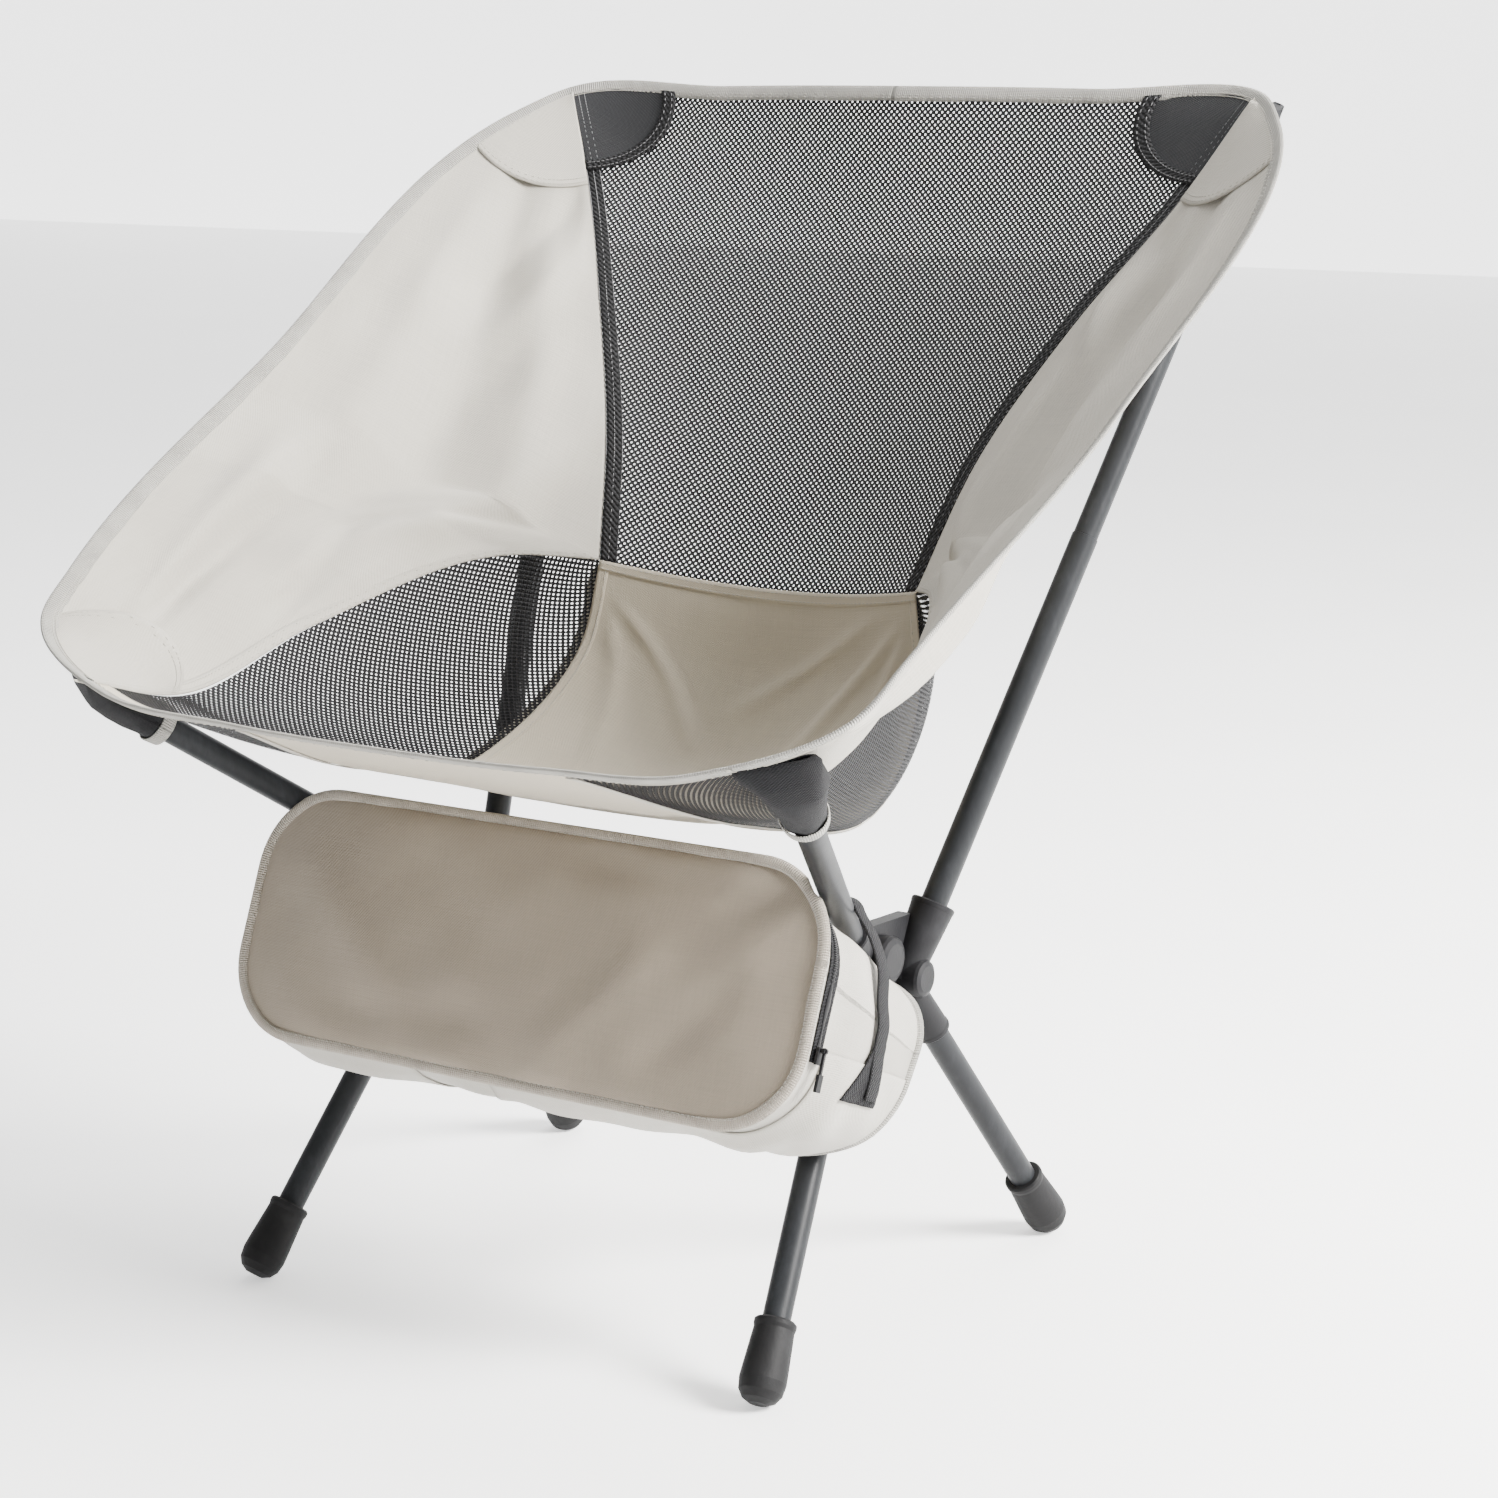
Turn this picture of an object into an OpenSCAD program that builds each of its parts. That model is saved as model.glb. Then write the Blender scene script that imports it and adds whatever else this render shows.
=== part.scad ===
// Low camp chair: a fabric sling on a shock-corded pole frame, with its storage bag hung from
// the front poles. Millimetres. +Z is up, the sitter faces -Y, and X = 0 is the plane of symmetry.

/* [Sling] */
// Distance of each side rim from the middle, halfway along it
rim_half_w = 280; // [274:1:286]
// Height of the top edge above the floor
top_z = 650; // [645:1:655]
// Distance of the top edge behind the middle
top_y = 249; // [245:1:253]
// Height of the front edge above the floor
front_z = 339; // [335:1:343]
// Distance of the front edge ahead of the middle
front_y = 250; // [246:1:254]
// Lowest height of the seat
seat_low_z = 258; // [252:1:264]
// Thickness of the cloth and mesh, seams included
cloth_t = 1.2; // [0.8:0.1:1.6]
// Width of the binding that is folded over the edge
binding_w = 9; // [7:0.5:11]

/* [Poles] */
// Outside diameter of the legs, the lower poles and the crossbar
tube_d = 15; // [14:0.1:15]
// Outside diameter of the upper back poles
upper_d = 14; // [13:0.1:14]
// Wall thickness of every tube
wall = 1; // [0.8:0.1:1.2]
// Length of lower back pole that stands out of its node
lower_len = 266; // [250:1:280]
// Diameter of the elastic cord inside the tubes
cord_d = 2.5; // [2:0.1:3]

/* [Hubs] */
// Outside diameter of the hub sockets
socket_d = 19.6; // [19:0.1:21]
// Diameter of the mouth that takes the back pole
mouth_d = 25; // [22:0.1:26]
// Distance from a node to the socket mouths
socket_len = 42; // [38:1:44]
// Distance from a node to a tube's inner end
seat_len = 13; // [11:0.5:15]
// Radial clearance of a leg in its socket
leg_gap = 0.06; // [0.02:0.01:0.1]

/* [Feet] */
// Largest diameter of a foot cap
foot_d = 25; // [23:0.5:27]
// Length of a foot cap
foot_len = 40; // [34:1:46]

/* [Bag] */
// Width of the front panel
bag_w = 370; // [360:1:374]
// Height of the front panel
bag_h = 140; // [134:1:142]
// Depth from the front panel to the back panel at mid-height
bag_d = 90; // [84:1:91]
// How much deeper the bag gets per unit of height, its back leaning on the legs
bag_lean = 0.25; // [0.2:0.01:0.3]
// How far the top drops from the front panel to the back panel
bag_drop = 44; // [43:1:48]
// Radius of the bag's corners
bag_r = 47; // [40:1:52]
// How far each end of the back panel reaches beyond the front panel
bag_flare = 6; // [0:1:8]
// Tilt of the bag, its front panel facing upwards
bag_tilt = 23; // [22:0.5:24]
// Width of the black webbing
webbing_w = 15; // [12:1:18]

/* [Hidden] */
$fn = 48;

// Frame points of the right-hand side
hub_front = [136, -24, 199];
hub_rear = [143, 12, 177];
front_tip = [221, -223, 343];
back_tip = [230, 257, 635];
front_foot = [167, -169, 11.1];
rear_foot = [172, 129, 11];
bar_y = -14;
bar_z = 196;

// Outer edge of the sling, from the middle of the top edge to the middle of the front edge
HALF_RIM = [
    [0, top_y, top_z], [125, top_y + 5, top_z - 1], [242, top_y - 8, top_z - 4],
    [260, top_y - 31, top_z - 16], [rim_half_w, -9, 498], [264, -194, 399],
    [259, 30 - front_y, front_z + 42], [187, -5 - front_y, front_z + 11],
    [100, -4 - front_y, front_z + 3], [0, -front_y, front_z],
];
// Points inside the sling that each of those points faces
HALF_FACING = [
    [0, 160, 480], [90, 155, 480], [150, 160, 500], [140, 140, 480], [108, 86, 378],
    [180, -90, 340], [160, -160, 310], [130, -170, 300], [70, -160, 300], [0, -160, 300],
];
// Seam from the top corner down to the joint of mesh, side and seat
BACK_SEAM = [[234, 241, 645], [205, 216, 592], [162, 166, 521], [126, 120, 446], [108, 86, 378]];
// Seam from that joint forwards, under the side panel
SIDE_SEAM = [[108, 86, 378], [142, 42, 384], [190, -75, 357], [201, -175, 333], [205, -254, 354]];
// Seam between the seat panel and the mesh beside it
SEAT_SEAM = [[108, 86, 378], [116, 78, 330], [133, -5, 272], [126, -118, 290], [96, -252, 342]];
// Middle line of the seat panel, from the back mesh to the front edge
SEAT_MIDDLE = [
    [0, 110, 366], [0, 98, 312], [0, 56, seat_low_z + 4],
    [0, 0, seat_low_z], [0, -130, 292], [0, -front_y, front_z],
];
// Places along the rim, counted in its points, where the side panel starts and ends
rim_start = 1.95;
rim_end = 6.85;
// Those places for fractions along the side panel, even in length
PANEL_RIM = [[0, rim_start], [0.05, 3], [0.5, 4.1], [0.83, 5], [0.88, 6], [1, rim_end]];

fabric = [0.88, 0.87, 0.83];
shade_fabric = [0.72, 0.68, 0.6];
mesh_black = [0.16, 0.16, 0.16];
tube_grey = [0.24, 0.25, 0.26];
plastic = [0.12, 0.12, 0.13];
webbing_black = [0.08, 0.08, 0.08];

// ---- Curves and sheets ----

function unit(v) = v / norm(v);
function flip(p) = [-p[0], p[1], p[2]];
function mix(a, b, t) = a * (1 - t) + b * t;
function reversed(p) = [for (i = [len(p) - 1:-1:0]) p[i]];

// Direction of a smooth path at its point i, weighted by the chords on each side
function slope(p, i) =
    i == 0 ? unit(p[1] - p[0]) :
    i == len(p) - 1 ? unit(p[i] - p[i - 1]) :
    let (a = norm(p[i] - p[i - 1]), b = norm(p[i + 1] - p[i]))
    ((p[i] - p[i - 1]) * b / a + (p[i + 1] - p[i]) * a / b) / (a + b);

// Point on a smooth path, u counted in points
function at(p, u) =
    let (i = min(floor(u), len(p) - 2), t = u - i, d = norm(p[i + 1] - p[i]))
    (2 * t ^ 3 - 3 * t ^ 2 + 1) * p[i] + (t ^ 3 - 2 * t ^ 2 + t) * d * slope(p, i)
    + (3 * t ^ 2 - 2 * t ^ 3) * p[i + 1] + (t ^ 3 - t ^ 2) * d * slope(p, i + 1);

// A half path closed into a loop, with one point repeated before and two after
function looped(half) =
    let (n = len(half), ring = concat(half, [for (i = [n - 2:-1:1]) flip(half[i])]))
    concat([ring[len(ring) - 1]], ring, [ring[0], ring[1]]);
RIM = looped(HALF_RIM);
FACING = looped(HALF_FACING);
rim_steps = 2 * (len(HALF_RIM) - 1);
function wrap(u) = u - rim_steps * floor(u / rim_steps);
function rim(u) = at(RIM, wrap(u) + 1);
function rim_tangent(u) = unit(rim(u + 0.02) - rim(u - 0.02));
function rim_inward(u) =
    let (d = at(FACING, wrap(u) + 1) - rim(u), t = rim_tangent(u)) unit(d - t * (d * t));
// The rim moved inwards across the binding
function rim_inner(u) = rim(u) + rim_inward(u) * (binding_w + 0.4);

// Point at fraction s between two ends of a row, whose middle is moved by bend
function row_point(a, b, bend, s) = mix(a, b, s) + bend * 4 * s * (1 - s);

function grid_normal(g, i, j) =
    let (m = len(g) - 1, n = len(g[0]) - 1)
    unit(cross(g[min(i + 1, m)][j] - g[max(i - 1, 0)][j], g[i][min(j + 1, n)] - g[i][max(j - 1, 0)]));

// A closed sheet of thickness t through a grid of points
module sheet(g, t) {
    m = len(g);
    n = len(g[0]);
    skin = function (s) [for (i = [0:m - 1]) for (j = [0:n - 1]) g[i][j] + s * grid_normal(g, i, j) * t / 2];
    low = function (i, j) i * n + j;
    high = function (i, j) m * n + i * n + j;
    edge = concat([for (j = [0:n - 1]) [0, j]], [for (i = [1:m - 1]) [i, n - 1]],
        [for (j = [n - 2:-1:0]) [m - 1, j]], [for (i = [m - 2:-1:1]) [i, 0]]);
    k = len(edge);
    faces = concat(
        [for (i = [0:m - 2]) for (j = [0:n - 2]) [high(i, j), high(i, j + 1), high(i + 1, j + 1)]],
        [for (i = [0:m - 2]) for (j = [0:n - 2]) [high(i, j), high(i + 1, j + 1), high(i + 1, j)]],
        [for (i = [0:m - 2]) for (j = [0:n - 2]) [low(i, j), low(i + 1, j + 1), low(i, j + 1)]],
        [for (i = [0:m - 2]) for (j = [0:n - 2]) [low(i, j), low(i + 1, j), low(i + 1, j + 1)]],
        [for (e = [0:k - 1]) let (a = edge[e], b = edge[(e + 1) % k])
            [high(b[0], b[1]), high(a[0], a[1]), low(a[0], a[1])]],
        [for (e = [0:k - 1]) let (a = edge[e], b = edge[(e + 1) % k])
            [high(b[0], b[1]), low(a[0], a[1]), low(b[0], b[1])]]);
    polyhedron(concat(skin(-1), skin(1)), faces, convexity = 6);
}

// A closed hoop through rings of points
module hoop(rings) {
    m = len(rings);
    n = len(rings[0]);
    id = function (i, j) (i % m) * n + j % n;
    polyhedron([for (r = rings) each r], concat(
        [for (i = [0:m - 1]) for (j = [0:n - 1]) [id(i, j), id(i + 1, j), id(i + 1, j + 1)]],
        [for (i = [0:m - 1]) for (j = [0:n - 1]) [id(i, j), id(i + 1, j + 1), id(i, j + 1)]]),
        convexity = 6);
}

// ---- Placing ----

// Children's +Z points from a towards b
module aim(a, b) {
    d = b - a;
    translate(a) rotate([0, acos(d[2] / norm(d)), atan2(d[1], d[0])]) children();
}

// Draws children as they are on the right, mirrored on the left
module on(side) {
    mirror([side == "left" ? 1 : 0, 0, 0]) children();
}

// A tube along the line a to b, from distance s to distance e from a
module tube(a, b, d, s, e) {
    aim(a, b) translate([0, 0, s]) difference() {
        cylinder(h = e - s, d = d);
        translate([0, 0, -1]) cylinder(h = e - s + 2, d = d - 2 * wall);
    }
}

// ---- Frame ----

// One socket's outside: a barrel that widens evenly to its mouth
module socket(a, b, length, mouth) {
    aim(a, b) rotate_extrude() polygon([
        [0, 0], [socket_d / 2 - 0.6, 0], [mouth / 2 - 0.3, length - 3.5],
        [mouth / 2, length - 2.5], [mouth / 2, length - 0.8], [mouth / 2 - 0.8, length], [0, length],
    ]);
}

module socket_bore(a, b, length, gap) {
    aim(a, b) translate([0, 0, seat_len - 0.5]) cylinder(h = length, r = tube_d / 2 + gap);
}

// A domed boss on the outboard face of the hub
module boss(y, z, r, x0, x1) {
    translate([x0, y, z]) rotate([0, 90, 0]) rotate_extrude() polygon([
        [0, 0], [r, 0], [r, x1 - x0 - 3], [r * 0.93, x1 - x0 - 1.2], [r * 0.7, x1 - x0], [0, x1 - x0],
    ]);
}

bar_end = 133;
module hub(side) {
    color(plastic) on(side) difference() {
        union() {
            socket(hub_front, front_tip, socket_len - 6, socket_d + 1);
            socket(hub_front, front_foot, socket_len, socket_d + 1);
            socket(hub_rear, back_tip, socket_len + 4, mouth_d);
            socket(hub_rear, rear_foot, socket_len, socket_d + 1);
            // Web that joins the four sockets
            translate([135, 0, 0]) rotate([90, 0, 90]) linear_extrude(9) polygon([
                [-30, 176], [-18, 165], [8, 158], [24, 164], [27, 180],
                [25, 206], [21, 213], [-30, 216], [-40, 208],
            ]);
            boss(bar_y, bar_z, 13, bar_end - 20, 154);
            boss(hub_rear[1] + 3, hub_rear[2] + 2, 10.5, 130, 157.5);
        }
        socket_bore(hub_front, front_tip, socket_len, 0.02);
        socket_bore(hub_front, front_foot, socket_len, leg_gap);
        socket_bore(hub_rear, back_tip, socket_len + 4, 0.02);
        socket_bore(hub_rear, rear_foot, socket_len, leg_gap);
        translate([bar_end - 25, bar_y, bar_z]) rotate([0, 90, 0]) cylinder(h = 25.2, r = tube_d / 2 + 0.02);
    }
}

module crossbar() {
    color(tube_grey) tube([-bar_end, bar_y, bar_z], [bar_end, bar_y, bar_z], tube_d, 0, 2 * bar_end);
}

module front_pole(side) {
    color(tube_grey) on(side)
        tube(hub_front, front_tip, tube_d, seat_len, norm(front_tip - hub_front) - 6);
}

module back_pole_lower(side) {
    color(tube_grey) on(side) tube(hub_rear, back_tip, tube_d, seat_len, lower_len);
}

module back_pole_upper(side) {
    color(tube_grey) on(side)
        tube(hub_rear, back_tip, upper_d, lower_len + 0.2, norm(back_tip - hub_rear) - 6);
}

// Sleeve fixed in the upper section that plugs into the lower one
module ferrule(side) {
    color("silver") on(side) aim(hub_rear, back_tip) difference() {
        union() {
            translate([0, 0, lower_len - 30]) cylinder(h = 30, d = tube_d - 2 * wall - 0.04);
            translate([0, 0, lower_len - 0.1]) cylinder(h = 26, d = upper_d - 2 * wall - 0.04);
        }
        translate([0, 0, lower_len - 31]) cylinder(h = 60, d = upper_d - 4 * wall);
    }
}

// Rounded plug that closes the end of a pole
module plug(a, b, d) {
    aim(a, b) translate([0, 0, norm(b - a) - 6]) {
        rotate_extrude() polygon([
            [0, 0.1], [d / 2, 0.1], [d / 2, 3], [d / 2 - 0.7, 5], [d / 2 - 2.5, 6.4], [0, 7],
        ]);
        translate([0, 0, -11]) cylinder(h = 11.2, d = d - 2 * wall - 0.1);
    }
}

module pole_end_plugs() {
    color(plastic) for (side = ["left", "right"]) on(side) {
        plug(hub_front, front_tip, tube_d);
        plug(hub_rear, back_tip, upper_d);
    }
}

// Cord between two distances from a, with a knot at its far end
module cord(a, b, s, e) {
    aim(a, b) {
        translate([0, 0, s]) cylinder(h = e - s, d = cord_d);
        translate([0, 0, e]) sphere(d = 2 * cord_d);
    }
}

module frame_cords() {
    color("dimgray") for (side = ["left", "right"]) on(side) {
        cord(hub_front, front_tip, seat_len, norm(front_tip - hub_front) - 21);
        cord(hub_rear, back_tip, seat_len, norm(back_tip - hub_rear) - 21);
    }
    color("dimgray") translate([-bar_end + 2, bar_y, bar_z]) rotate([0, 90, 0])
        cylinder(h = 2 * bar_end - 4, d = cord_d);
}

// ---- Legs ----

function leg_top(row) = row == "front" ? hub_front : hub_rear;
function leg_foot(row) = row == "front" ? front_foot : rear_foot;
function leg_len(row) = norm(leg_foot(row) - leg_top(row));

module leg(row, side) {
    color(tube_grey) on(side) tube(leg_top(row), leg_foot(row), tube_d, seat_len, leg_len(row) - 4);
}

// Rubber cap: a ribbed cone with a lip at the top and a rounded sole
module foot(row, side) {
    r = foot_d / 2;
    color(plastic) on(side) aim(leg_top(row), leg_foot(row))
        translate([0, 0, leg_len(row)]) difference() {
            rotate_extrude() polygon([
                [0, 9.5], [r * 0.4, 9.2], [r * 0.72, 7], [r * 0.93, 3], [r, -3], [r * 0.97, -10],
                [r * 0.86, 10 - foot_len], [r * 0.9, 8 - foot_len], [r * 0.9, 6 - foot_len],
                [r * 0.82, 5 - foot_len], [0, 5 - foot_len],
            ]);
            translate([0, 0, 4 - foot_len]) cylinder(h = foot_len - 8, d = tube_d);
            for (k = [0:11]) rotate([0, 0, 30 * k])
                translate([r + 0.2, -0.9, -22]) cube([2, 1.8, 19], center = false);
        }
}

module leg_cord(row, side) {
    color("dimgray") on(side) cord(leg_top(row), leg_foot(row), seat_len + 1, leg_len(row) - 7.5);
}

// ---- Sling ----

back_rows = 16;
back_cols = 20;
// Bend of the back mesh at height fraction t, deepest above the seat
function back_bend(t) = [0, 8 + 16 * t + 6 * sin(180 * t), 4 - 16 * t - 6 * sin(180 * t)];
// The straight-sided back, pulled up to the rim along its top edge
function back_point(s, t) =
    let (a = at(BACK_SEAM, 4 * t), top = BACK_SEAM[0],
        flat_top = row_point(top, flip(top), back_bend(0), s))
    row_point(a, flip(a), back_bend(t), s) + (rim_inner((1 - 2 * s) * rim_start) - flat_top) * (1 - t) ^ 5;

module back_mesh() {
    color(mesh_black) sheet([for (i = [0:back_rows]) let (t = 0.99 * i / back_rows)
        [for (j = [0:back_cols]) back_point(0.006 + 0.988 * j / back_cols, t)]], cloth_t);
}

// Solid patch laid on the mesh in each top corner, with a rounded inner edge; fractions of the mesh
corner_w = 0.15;
corner_h = 0.22;
module back_corner(side) {
    color([0.25, 0.25, 0.26]) on(side) translate([0, -1.6, 0.6]) sheet([for (i = [0:8]) let (q = i / 8)
        [for (j = [0:6]) back_point(0.01 + j / 6 * corner_w * sqrt(1.02 - q ^ 2), 0.01 + q * corner_h)]],
        cloth_t);
}

seat_rows = 20;
seat_cols = 16;
// The seat, hung between its seams, and its front edge brought to the rim
function seat_point(s, t) =
    let (a = at(SEAT_SEAM, 4 * t), b = flip(a), middle = at(SEAT_MIDDLE, 5 * t),
        front = SEAT_SEAM[4],
        flat_front = row_point(front, flip(front), SEAT_MIDDLE[5] - [0, front[1], front[2]], s))
    row_point(a, b, middle - (a + b) / 2, s) + (rim_inner(8 + 2 * s) - flat_front) * t ^ 6;

module seat_panel() {
    color(shade_fabric) sheet([for (i = [0:seat_rows]) let (t = 0.008 + 0.982 * i / seat_rows)
        [for (j = [0:seat_cols]) seat_point(0.006 + 0.988 * j / seat_cols, t)]], cloth_t);
}

panel_rows = 26;
panel_cols = 8;
// Fraction v along the side panel to a point of the rim, and of its inner seam
function panel_rim(v) = rim_inner(lookup(v, PANEL_RIM));
function panel_seam(v) = v < 0.5 ? at(BACK_SEAM, 8 * v) : at(SIDE_SEAM, 8 * v - 4);

module side_panel(side) {
    color(fabric) on(side) sheet([for (i = [0:panel_rows]) let (v = 0.04 + 0.91 * i / panel_rows)
        [for (j = [0:panel_cols]) mix(panel_rim(v), panel_seam(v), 0.002 + 0.988 * j / panel_cols)]],
        cloth_t);
}

lens_rows = 18;
lens_cols = 8;
lens_bulge = 11;
function lens_point(w, t) =
    row_point(at(SIDE_SEAM, 4 * t), at(SEAT_SEAM, 4 * t), [0.75, 0, -0.65] * lens_bulge * sin(180 * t), w)
    + (rim_inner(mix(rim_end, 8, w)) - mix(SIDE_SEAM[4], SEAT_SEAM[4], w)) * t ^ 5;

module seat_mesh(side) {
    color(mesh_black) on(side) sheet([for (i = [0:lens_rows]) let (t = 0.04 + 0.95 * i / lens_rows)
        [for (j = [0:lens_cols]) lens_point(0.012 + 0.976 * j / lens_cols, t)]], cloth_t);
}

binding_rings = 108;
binding_t = 3.2;
module rim_binding() {
    color(shade_fabric) hoop([for (k = [0:binding_rings - 1])
        let (u = k * rim_steps / binding_rings, d = rim_inward(u), n = cross(rim_tangent(u), d),
            c = rim(u) + d * binding_w / 2)
        [for (a = [0:45:315]) c + d * cos(a) * binding_w / 2 + n * sin(a) * binding_t / 2]]);
}

// Cup sewn under a corner of the sling that holds the end of a pole
module pocket(a, b, d, depth, tint) {
    far = norm(b - a) + 1.6;
    color(tint) aim(a, b) difference() {
        rotate_extrude() polygon([
            [0, far - depth], [d / 2 + 1.7, far - depth], [d / 2 + 2, far - 12],
            [d / 2 + 1.4, far - 3], [d / 2 - 1.4, far + 0.9], [0, far + 1.4],
        ]);
        rotate_extrude() polygon([
            [0, far - depth - 1], [d / 2 + 0.5, far - depth - 1], [d / 2 + 0.5, far - 3.2],
            [d / 2 - 1.6, far - 0.3], [0, far - 0.1],
        ]);
    }
}

module back_pocket(side) {
    on(side) pocket(hub_rear, back_tip, upper_d, 62, [0.3, 0.3, 0.31]);
}

module front_pocket(side) {
    on(side) pocket(hub_front, front_tip, tube_d, 46, webbing_black);
}

// Tape that binds the mouth of a front pocket and runs round the pole
module pocket_webbing(side) {
    far = norm(front_tip - hub_front) - 44.4;
    color(fabric) on(side) aim(hub_front, front_tip) translate([0, 0, far - 5]) difference() {
        cylinder(h = 10, d = tube_d + 7.4);
        translate([0, 0, -1]) cylinder(h = 12, d = tube_d + 4.4);
    }
}

// ---- Bag ----

bag_y = -96;
bag_z = 189;
bag_front = -52.5;
shell_t = 1.6;
panel_g = shell_t / bag_d;
panel_inset = 4.6;
swing_y = -76;
swing_z = 236.6;

module bag_frame() {
    translate([0, bag_y, bag_z]) rotate([-bag_tilt, 0, 0]) children();
}

// The top falls away quickest behind the front panel, to pass under the poles
function bag_top(g) = bag_h / 2 - bag_drop * max(g, 0) ^ 0.7;
function depth_y(g, z) = bag_front + g * (bag_d + bag_lean * z);
// A rounded rectangle of points, seen from the front, at depth fraction g and inset by e
corner_steps = 8;
function bag_ring(g, e) =
    let (w = bag_w / 2 + bag_flare * g - e, hi = bag_top(g) - e, lo = -bag_h / 2 + e,
        r = min(bag_r, (hi - lo) / 2.05))
    [for (q = [0:3]) for (k = [0:corner_steps])
        let (a = 90 * q + 90 * k / corner_steps, cx = (q == 0 || q == 3) ? w - r : r - w,
            cz = q < 2 ? hi - r : lo + r)
        let (z = cz + r * sin(a)) [cx + r * cos(a), depth_y(g, z), z]];

// A solid panel between two depth fractions, inset by e
module bag_slab(g0, g1, e) {
    near = bag_ring(g0, e);
    far = bag_ring(g1, e);
    n = len(near);
    polyhedron(concat(near, far), concat(
        [[for (k = [n - 1:-1:0]) k], [for (k = [0:n - 1]) n + k]],
        [for (k = [0:n - 1]) [k, (k + 1) % n, n + (k + 1) % n]],
        [for (k = [0:n - 1]) [k, n + (k + 1) % n, n + k]]), convexity = 4);
}

// A band of rings at the depth fractions, t thick, its outside inset by e
module bag_band(fractions, e, t) {
    hoop(concat([for (g = fractions) bag_ring(g, e)], [for (g = reversed(fractions)) bag_ring(g, e + t)]));
}

module bag_front_panel() {
    color(shade_fabric) bag_frame() bag_slab(0, panel_g, panel_inset);
}

module bag_back_panel() {
    color(shade_fabric) bag_frame() bag_slab(1 - panel_g, 1, panel_inset);
}

module bag_gusset() {
    color(fabric) bag_frame() bag_band([0.05, 0.13, 0.3, 0.55, 0.95], 1, shell_t);
}

module bag_binding_front() {
    color(fabric) bag_frame() bag_band([-0.01, 0.045], 0, 3);
}

module bag_binding_back() {
    color(fabric) bag_frame() bag_band([0.955, 1.01], 0, 3);
}

// Points of a band along the top and both ends, from one lower corner to the other
function zip_run(g, e) = let (r = bag_ring(g, e), n = 2 * corner_steps + 2) [for (k = [0:n - 1]) r[k]];
zip_low = -30;
zip_front = 0.06;
zip_back = 0.13;
function zip_path(g, e) =
    let (r = zip_run(g, e), first = r[0], last = r[len(r) - 1])
    concat([[first[0], depth_y(g, zip_low), zip_low]], r, [[last[0], depth_y(g, zip_low), zip_low]]);

module bag_zip() {
    color(webbing_black) bag_frame() {
        sheet([zip_path(zip_front, -0.1), zip_path(zip_back, -0.1)], 1.2);
    }
}

slider_z = -24;
slider_y = depth_y((zip_front + zip_back) / 2, 0);
slider_x = bag_w / 2 + 3.2;
module zip_slider() {
    color("dimgray") bag_frame() translate([slider_x, slider_y, slider_z]) {
        translate([-1.2, -3.2, -4.5]) cube([1.4, 6.4, 9]);
        translate([0.2, -2, 2]) cube([2.6, 1, 2]);
        translate([0.2, 1, 2]) cube([2.6, 1, 2]);
        translate([2, 0, 3]) rotate([90, 0, 0]) cylinder(h = 3.4, d = 1.2, center = true);
    }
}

// Tab that hangs from the slider's bar
module zip_pull() {
    color(plastic) bag_frame() translate([slider_x + 2, slider_y, slider_z + 3]) difference() {
        union() {
            rotate([90, 0, 0]) cylinder(h = 1.6, d = 3.2, center = true);
            translate([-0.7, -0.8, -18]) cube([1.4, 1.6, 17.4]);
            translate([-0.9, -2.2, -21]) cube([1.8, 4.4, 9]);
        }
        rotate([90, 0, 0]) cylinder(h = 10, d = 1.32, center = true);
    }
}

// Path of a strap from the bag's end, over the pole, and down to the top of the bag
strap_x = bag_w / 2 + bag_flare + 0.6;
loop_x = 158;
loop_z = 49.6;
loop_r = 13.5;
strap_path = concat(
    [[strap_x, -36], [strap_x, 14], [strap_x - 6, 36]],
    [for (a = [25:15:175]) [loop_x + loop_r * cos(a), loop_z + loop_r * sin(a)]],
    [[loop_x - loop_r, loop_z - 4.5]]);

module bag_strap(side) {
    color(webbing_black) on(side) bag_frame() sheet([
        [for (p = strap_path) [p[0], -webbing_w / 2, p[1]]],
        [for (p = strap_path) [p[0], webbing_w / 2, p[1]]]], 1.3);
}

// Triangular patch that spreads the strap's load into the end of the bag
module strap_tab(side) {
    color(webbing_black) on(side) bag_frame() translate([strap_x - 2, 0, 0]) rotate([90, 0, 90])
        linear_extrude(1) polygon([[-24, -42], [8, -42], [8, -12], [-2, -12]]);
}

// ---- Assembly ----

hub("left");  // hub_left
hub("right");  // hub_right
crossbar();
front_pole("left");  // front_pole_left
front_pole("right");  // front_pole_right
back_pole_lower("left");  // back_pole_lower_left
back_pole_lower("right");  // back_pole_lower_right
back_pole_upper("left");  // back_pole_upper_left
back_pole_upper("right");  // back_pole_upper_right
ferrule("left");  // ferrule_left
ferrule("right");  // ferrule_right
pole_end_plugs();
frame_cords();
leg("front", "left");  // leg_front_left
leg("front", "right");  // leg_front_right
leg("rear", "left");  // leg_rear_left
leg("rear", "right");  // leg_rear_right
foot("front", "left");  // foot_front_left
foot("front", "right");  // foot_front_right
foot("rear", "left");  // foot_rear_left
foot("rear", "right");  // foot_rear_right
leg_cord("front", "left");  // leg_cord_front_left
leg_cord("front", "right");  // leg_cord_front_right
leg_cord("rear", "left");  // leg_cord_rear_left
leg_cord("rear", "right");  // leg_cord_rear_right
back_mesh();
seat_panel();
side_panel("left");  // side_panel_left
side_panel("right");  // side_panel_right
seat_mesh("left");  // seat_mesh_left
seat_mesh("right");  // seat_mesh_right
back_corner("left");  // back_corner_left
back_corner("right");  // back_corner_right
rim_binding();
back_pocket("left");  // back_pocket_left
back_pocket("right");  // back_pocket_right
front_pocket("left");  // front_pocket_left
front_pocket("right");  // front_pocket_right
pocket_webbing("left");  // pocket_webbing_left
pocket_webbing("right");  // pocket_webbing_right
bag_front_panel();
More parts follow.
